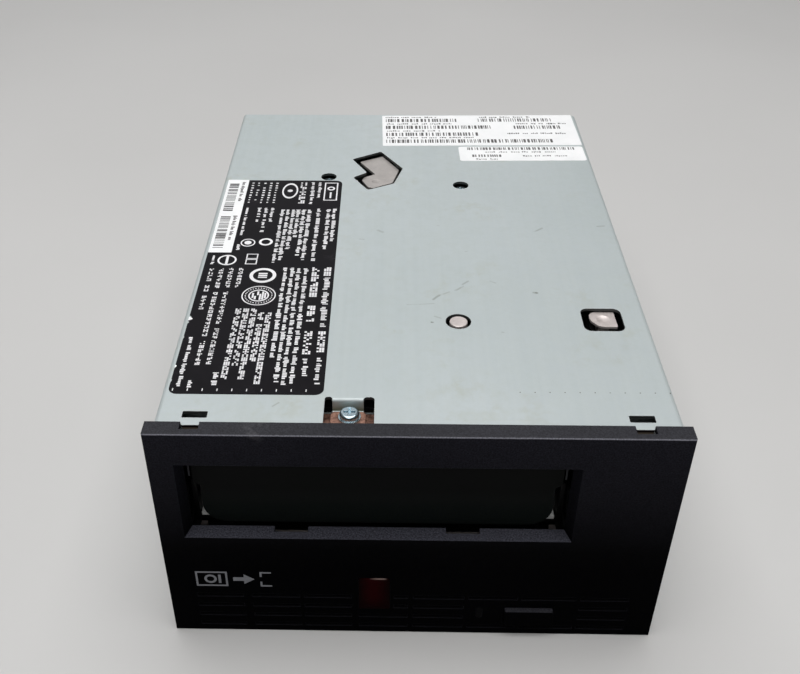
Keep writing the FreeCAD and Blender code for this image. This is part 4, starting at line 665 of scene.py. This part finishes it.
for k, (u0, u1) in enumerate(((-1.4, 1.4), (-2.2, -0.3), (0.2, 2.4), (-2.5, 0.9), (-2.3, 2.3), (-1.5, 1.5))):
    xx = PX(269) - 2.2 + 0.8 * k
    add_box(bm, xx, xx + 0.62, PY(972) + u0, PY(972) + u1, za, zb)
for px, r0, r1 in ((322, 1088, 1540), (293, 1062, 1400), (263, 1062, 1510), (233, 1062, 1420), (203, 1062, 1510)):
    tile_marks(bm, PX(px), PY(r0), PY(r1), 1.9, za, zb, 2.12, 0.04)
for px, r0, r1 in ((178, 775, 930), (138, 775, 1420), (98, 780, 1430), (58, 780, 1090)):
    tile_marks(bm, PX(px), PY(r0), PY(r1), 1.55, za, zb, 2.05, 0.05)
line_of_blocks(bm, PX(172), PY(1455), PY(1530), 1.5, za, zb)
line_of_blocks(bm, PX(52), PY(1248), PY(1545), 1.3, za, zb)
line_of_blocks(bm, PX(88), PY(1500), PY(1540), 1.3, za, zb)
# tick row at the label's foot
for k in range(10):
    xx = -70.0 + 4.26 * k
    add_box(bm, xx - 0.14, xx + 0.14, -84.7, -83.6, za, zb)
finish_mesh("label_black_print", bm, INK_LIGHT, "drive")

# worn paper showing where the label is chipped
bm = bmesh.new()
for yy, wd, hh in ((-49.3, 1.25, 1.5), (-73.4, 0.5, 1.0)):
    add_plate(bm, [(XL - 0.05, yy - hh * 0.6), (XL + wd * 0.6, yy - hh * 0.35), (XL + wd, yy + 0.1), (XL + wd * 0.55, yy + hh * 0.5), (XL - 0.05, yy + hh * 0.7)], ZC - 0.01, Z1 + 0.012)
finish_mesh("label_chips", bm, LAB_WHITE, "drive")


def barcode(bm, x0, x1, y0, y1, z0, z1, along="x", narrow=0.24, rot=None, fill=0.5):
    a, b = (x0, x1) if along == "x" else (y0, y1)
    p = a
    while p < b - narrow:
        w = narrow * rnd.choice((1, 1, 1, 2, 2, 3))
        w = min(w, b - p)
        if along == "x":
            add_box(bm, p, p + w, y0, y1, z0, z1, rot)
        else:
            add_box(bm, x0, x1, p, p + w, z0, z1, rot)
        p += w + narrow * rnd.choice((1, 1, 2, 2, 3))


def blocks_x(bm, x0, x1, yc, h, z0, z1, rot=None, w=(0.35, 0.85), g=0.28, word=(1.8, 5.5), gap=0.9):
    x = x0
    left = rnd.uniform(*word)
    while x < x1 - 0.3:
        if left <= 0:
            x += gap * rnd.uniform(0.8, 1.6)
            left = rnd.uniform(*word)
        bw = rnd.uniform(*w)
        if x + bw > x1:
            break
        top = h / 2 if rnd.random() < 0.3 else h * rnd.uniform(0.15, 0.28)
        bot = -h / 2 if rnd.random() < 0.15 else -h * 0.32
        add_box(bm, x, x + bw, yc + bot, yc + top, z0, z1, rot)
        x += bw + g
        left -= bw + g


# white barcode label over the rear left of the black one
bm = bmesh.new()
add_plate(bm, round_rect(-71.15, -63.0, -9.6, 44.25, 0.25, 3), Z1 - 0.02, Z1 + 0.08)
finish_mesh("label_barcode", bm, LAB_WHITE, "drive")
bm = bmesh.new()
z0, z1 = Z1 + 0.07, Z1 + 0.10
barcode(bm, -70.1, -66.5, 19.6, 41.6, z0, z1, "y", 0.33)
barcode(bm, -70.1, -66.5, -6.6, 15.5, z0, z1, "y", 0.33)
finish_mesh("label_barcode_bars", bm, INK_DARK, "drive")
bm = bmesh.new()
line_of_blocks(bm, -64.9, 42.4, 25.6, 1.35, z0, z1)
line_of_blocks(bm, -64.9, 16.0, -1.8, 1.35, z0, z1)
finish_mesh("label_barcode_lines", bm, INK_GREY, "drive")

# wide white label at the rear right, set on a slight tilt
RA = turn(1.0, 30.0, 91.0)
za, zb = ZC - 0.02, ZC + 0.10
bm = bmesh.new()
add_plate(bm, round_rect(-11.4, 71.3, 76.0, 106.0, 0.5, 3), za, zb, RA)
finish_mesh("label_wide", bm, LAB_WHITE, "drive")
z0, z1 = zb - 0.01, zb + 0.02
bm = bmesh.new()
for x0, x1, yc in ((-9.9, 21.2, 100.9), (30.2, 61.9, 101.0), (-9.9, 35.0, 93.9), (45.0, 65.6, 93.6), (-9.9, 29.4, 86.9), (-9.9, 60.2, 80.2)):
    barcode(bm, x0, x1, yc - 1.6, yc + 1.6, z0, z1, "x", 0.33, RA)
finish_mesh("label_wide_bars", bm, INK_GREY, "drive")
bm = bmesh.new()
for x0, x1, yc in ((-10.0, 12.6, 104.1), (31.0, 53.5, 104.0), (-9.5, 20.0, 97.3), (46.2, 68.0, 97.2), (-9.5, 13.8, 90.2), (41.6, 67.4, 87.4), (-9.5, 27.2, 83.5)):
    blocks_x(bm, x0, x1, yc, 1.35, z0, z1, RA)
finish_mesh("label_wide_lines", bm, INK_GREY, "drive")

# narrow white label in front of it
RB = turn(0.9, 46.0, 68.6)
bm = bmesh.new()
add_plate(bm, round_rect(20.2, 71.4, 62.2, 75.0, 1.1, 5), za, zb - 0.01, RB)
finish_mesh("label_narrow", bm, LAB_WHITE, "drive")
z0, z1 = zb - 0.02, zb + 0.01
bm = bmesh.new()
barcode(bm, 23.8, 67.8, 72.0, 74.3, z0, z1, "x", 0.28, RB)
barcode(bm, 25.4, 37.4, 65.6, 67.7, z0, z1, "x", 0.28, RB)
finish_mesh("label_narrow_bars", bm, INK_GREY, "drive")
bm = bmesh.new()
for x0, x1, yc in ((31.0, 60.2, 70.0), (46.0, 64.3, 66.4), (26.8, 37.4, 63.6)):
    blocks_x(bm, x0, x1, yc, 1.2, z0, z1, RB)
finish_mesh("label_narrow_lines", bm, INK_GREY, "drive")

# row of small dots printed across the cover's right half
bm = bmesh.new()
for k in range(11):
    add_disc(bm, 29.4 + 4.26 * k, -83.9 + 0.02 * k, 0.20, ZC - 0.01, ZC + 0.02, n=10)
finish_mesh("cover_dots", bm, DOT_DARK, "drive")


# ================================================================ generic mark on the front panel
def front(p):
    # (u, v, w): u across, v up, w out of the panel
    return Vector((p.x, -104.0 - p.z, p.y))


bm = bmesh.new()
w0, w1 = -0.02, 0.035
# cartridge outline with a hub, an arrow and a slot: where the cartridge goes in
for q in ((-66.3, -56.6, 27.2, 27.8), (-66.3, -56.6, 21.2, 21.8), (-66.3, -65.7, 21.8, 27.2), (-57.2, -56.6, 21.8, 27.2)):
    add_box(bm, q[0], q[1], q[2], q[3], w0, w1, front)
add_ring(bm, -61.8, 24.5, 1.9, 1.15, w0, w1, front, n=32)
add_box(bm, -59.4, -58.6, 22.6, 26.4, w0, w1, front)
add_plate(bm, [(-54.9, 23.7), (-51.6, 23.7), (-51.6, 22.3), (-48.4, 24.5), (-51.6, 26.7), (-51.6, 25.3), (-54.9, 25.3)], w0, w1, front)
for q in ((-46.7, -43.2, 27.2, 27.8), (-46.7, -43.2, 21.2, 21.8), (-46.7, -46.1, 25.6, 27.2), (-46.7, -46.1, 21.8, 23.4)):
    add_box(bm, q[0], q[1], q[2], q[3], w0, w1, front)
finish_mesh("panel_mark", bm, INK_PANEL, "drive")

# ================================================================ stage
FLOOR = Mat("floor")
FLOOR.put(FLOOR.b.inputs["Base Color"], FLOOR.mix(FLOOR.range(FLOOR.noise(3.0, 3.0), 0.35, 0.65), rgb(203, 202, 201), rgb(208, 207, 206)))
FLOOR.b.inputs["Roughness"].default_value = 0.85
bm = bmesh.new()
prof = [(300.0 * k, 0.0) for k in range(1, 6)]
for i in range(1, 13):
    a = math.radians(90.0 * i / 12)
    prof.append((1500.0 + 900.0 * math.sin(a), 900.0 - 900.0 * math.cos(a)))
prof.append((2400.0, 2800.0))
N = 72
centre = bm.verts.new((0, 0, 0))
rings = [[bm.verts.new((r * math.cos(2 * math.pi * k / N), r * math.sin(2 * math.pi * k / N), z_)) for k in range(N)] for r, z_ in prof]
for k in range(N):
    m = (k + 1) % N
    bm.faces.new([centre, rings[0][k], rings[0][m]])
    for lo, hi in zip(rings[:-1], rings[1:]):
        bm.faces.new([lo[k], hi[k], hi[m], lo[m]])
me = bpy.data.meshes.new("floor")
bm.to_mesh(me)
bm.free()
me.transform(Matrix.Scale(MM, 4))
for p in me.polygons:
    p.use_smooth = True
floor = bpy.data.objects.new("floor", me)
bpy.context.scene.collection.objects.link(floor)
me.materials.append(FLOOR.m)


def area(name, loc, target, size, power, color=(1, 1, 1), size_y=None):
    li = bpy.data.lights.new(name, "AREA")
    li.energy = power
    li.color = color
    li.size = size
    if size_y:
        li.shape = "RECTANGLE"
        li.size_y = size_y
    ob = bpy.data.objects.new(name, li)
    bpy.context.scene.collection.objects.link(ob)
    ob.location = loc
    d = Vector(target) - Vector(loc)
    ob.rotation_euler = d.to_track_quat("-Z", "Y").to_euler()
    return ob


area("key_top", (0.0, -0.06, 1.30), (0, -0.04, 0.0), 1.3, 15.0, (1.0, 0.995, 0.985), 1.0)
area("rear_fill", (-0.3, 1.1, 1.0), (0, 0.1, 0.0), 1.2, 2.6, (0.96, 0.98, 1.0))
area("front_high", (-0.08, -0.95, 1.15), (0, -0.08, 0.05), 0.8, 4.0, (0.98, 0.99, 1.0))
world = bpy.data.worlds.new("studio")
bpy.context.scene.world = world
world.use_nodes = True
world.node_tree.nodes["Background"].inputs[0].default_value = (0.80, 0.83, 0.86, 1)
world.node_tree.nodes["Background"].inputs[1].default_value = 0.10
bpy.context.scene.view_settings.view_transform = "Standard"
bpy.context.scene.view_settings.look = "None"

cam_data = bpy.data.cameras.new("camera")
cam = bpy.data.objects.new("camera", cam_data)
bpy.context.scene.collection.objects.link(cam)
cam.location = (-0.008325, -0.302589, 0.264064)
cam.rotation_euler = (0.9466, 0.0057, 0.0212)
cam_data.sensor_width = 36.0
cam_data.lens = 44.66
cam_data.shift_x = 0.0402
cam_data.shift_y = -0.0178
cam_data.clip_start = 0.01
cam_data.clip_end = 20.0
bpy.context.scene.camera = cam
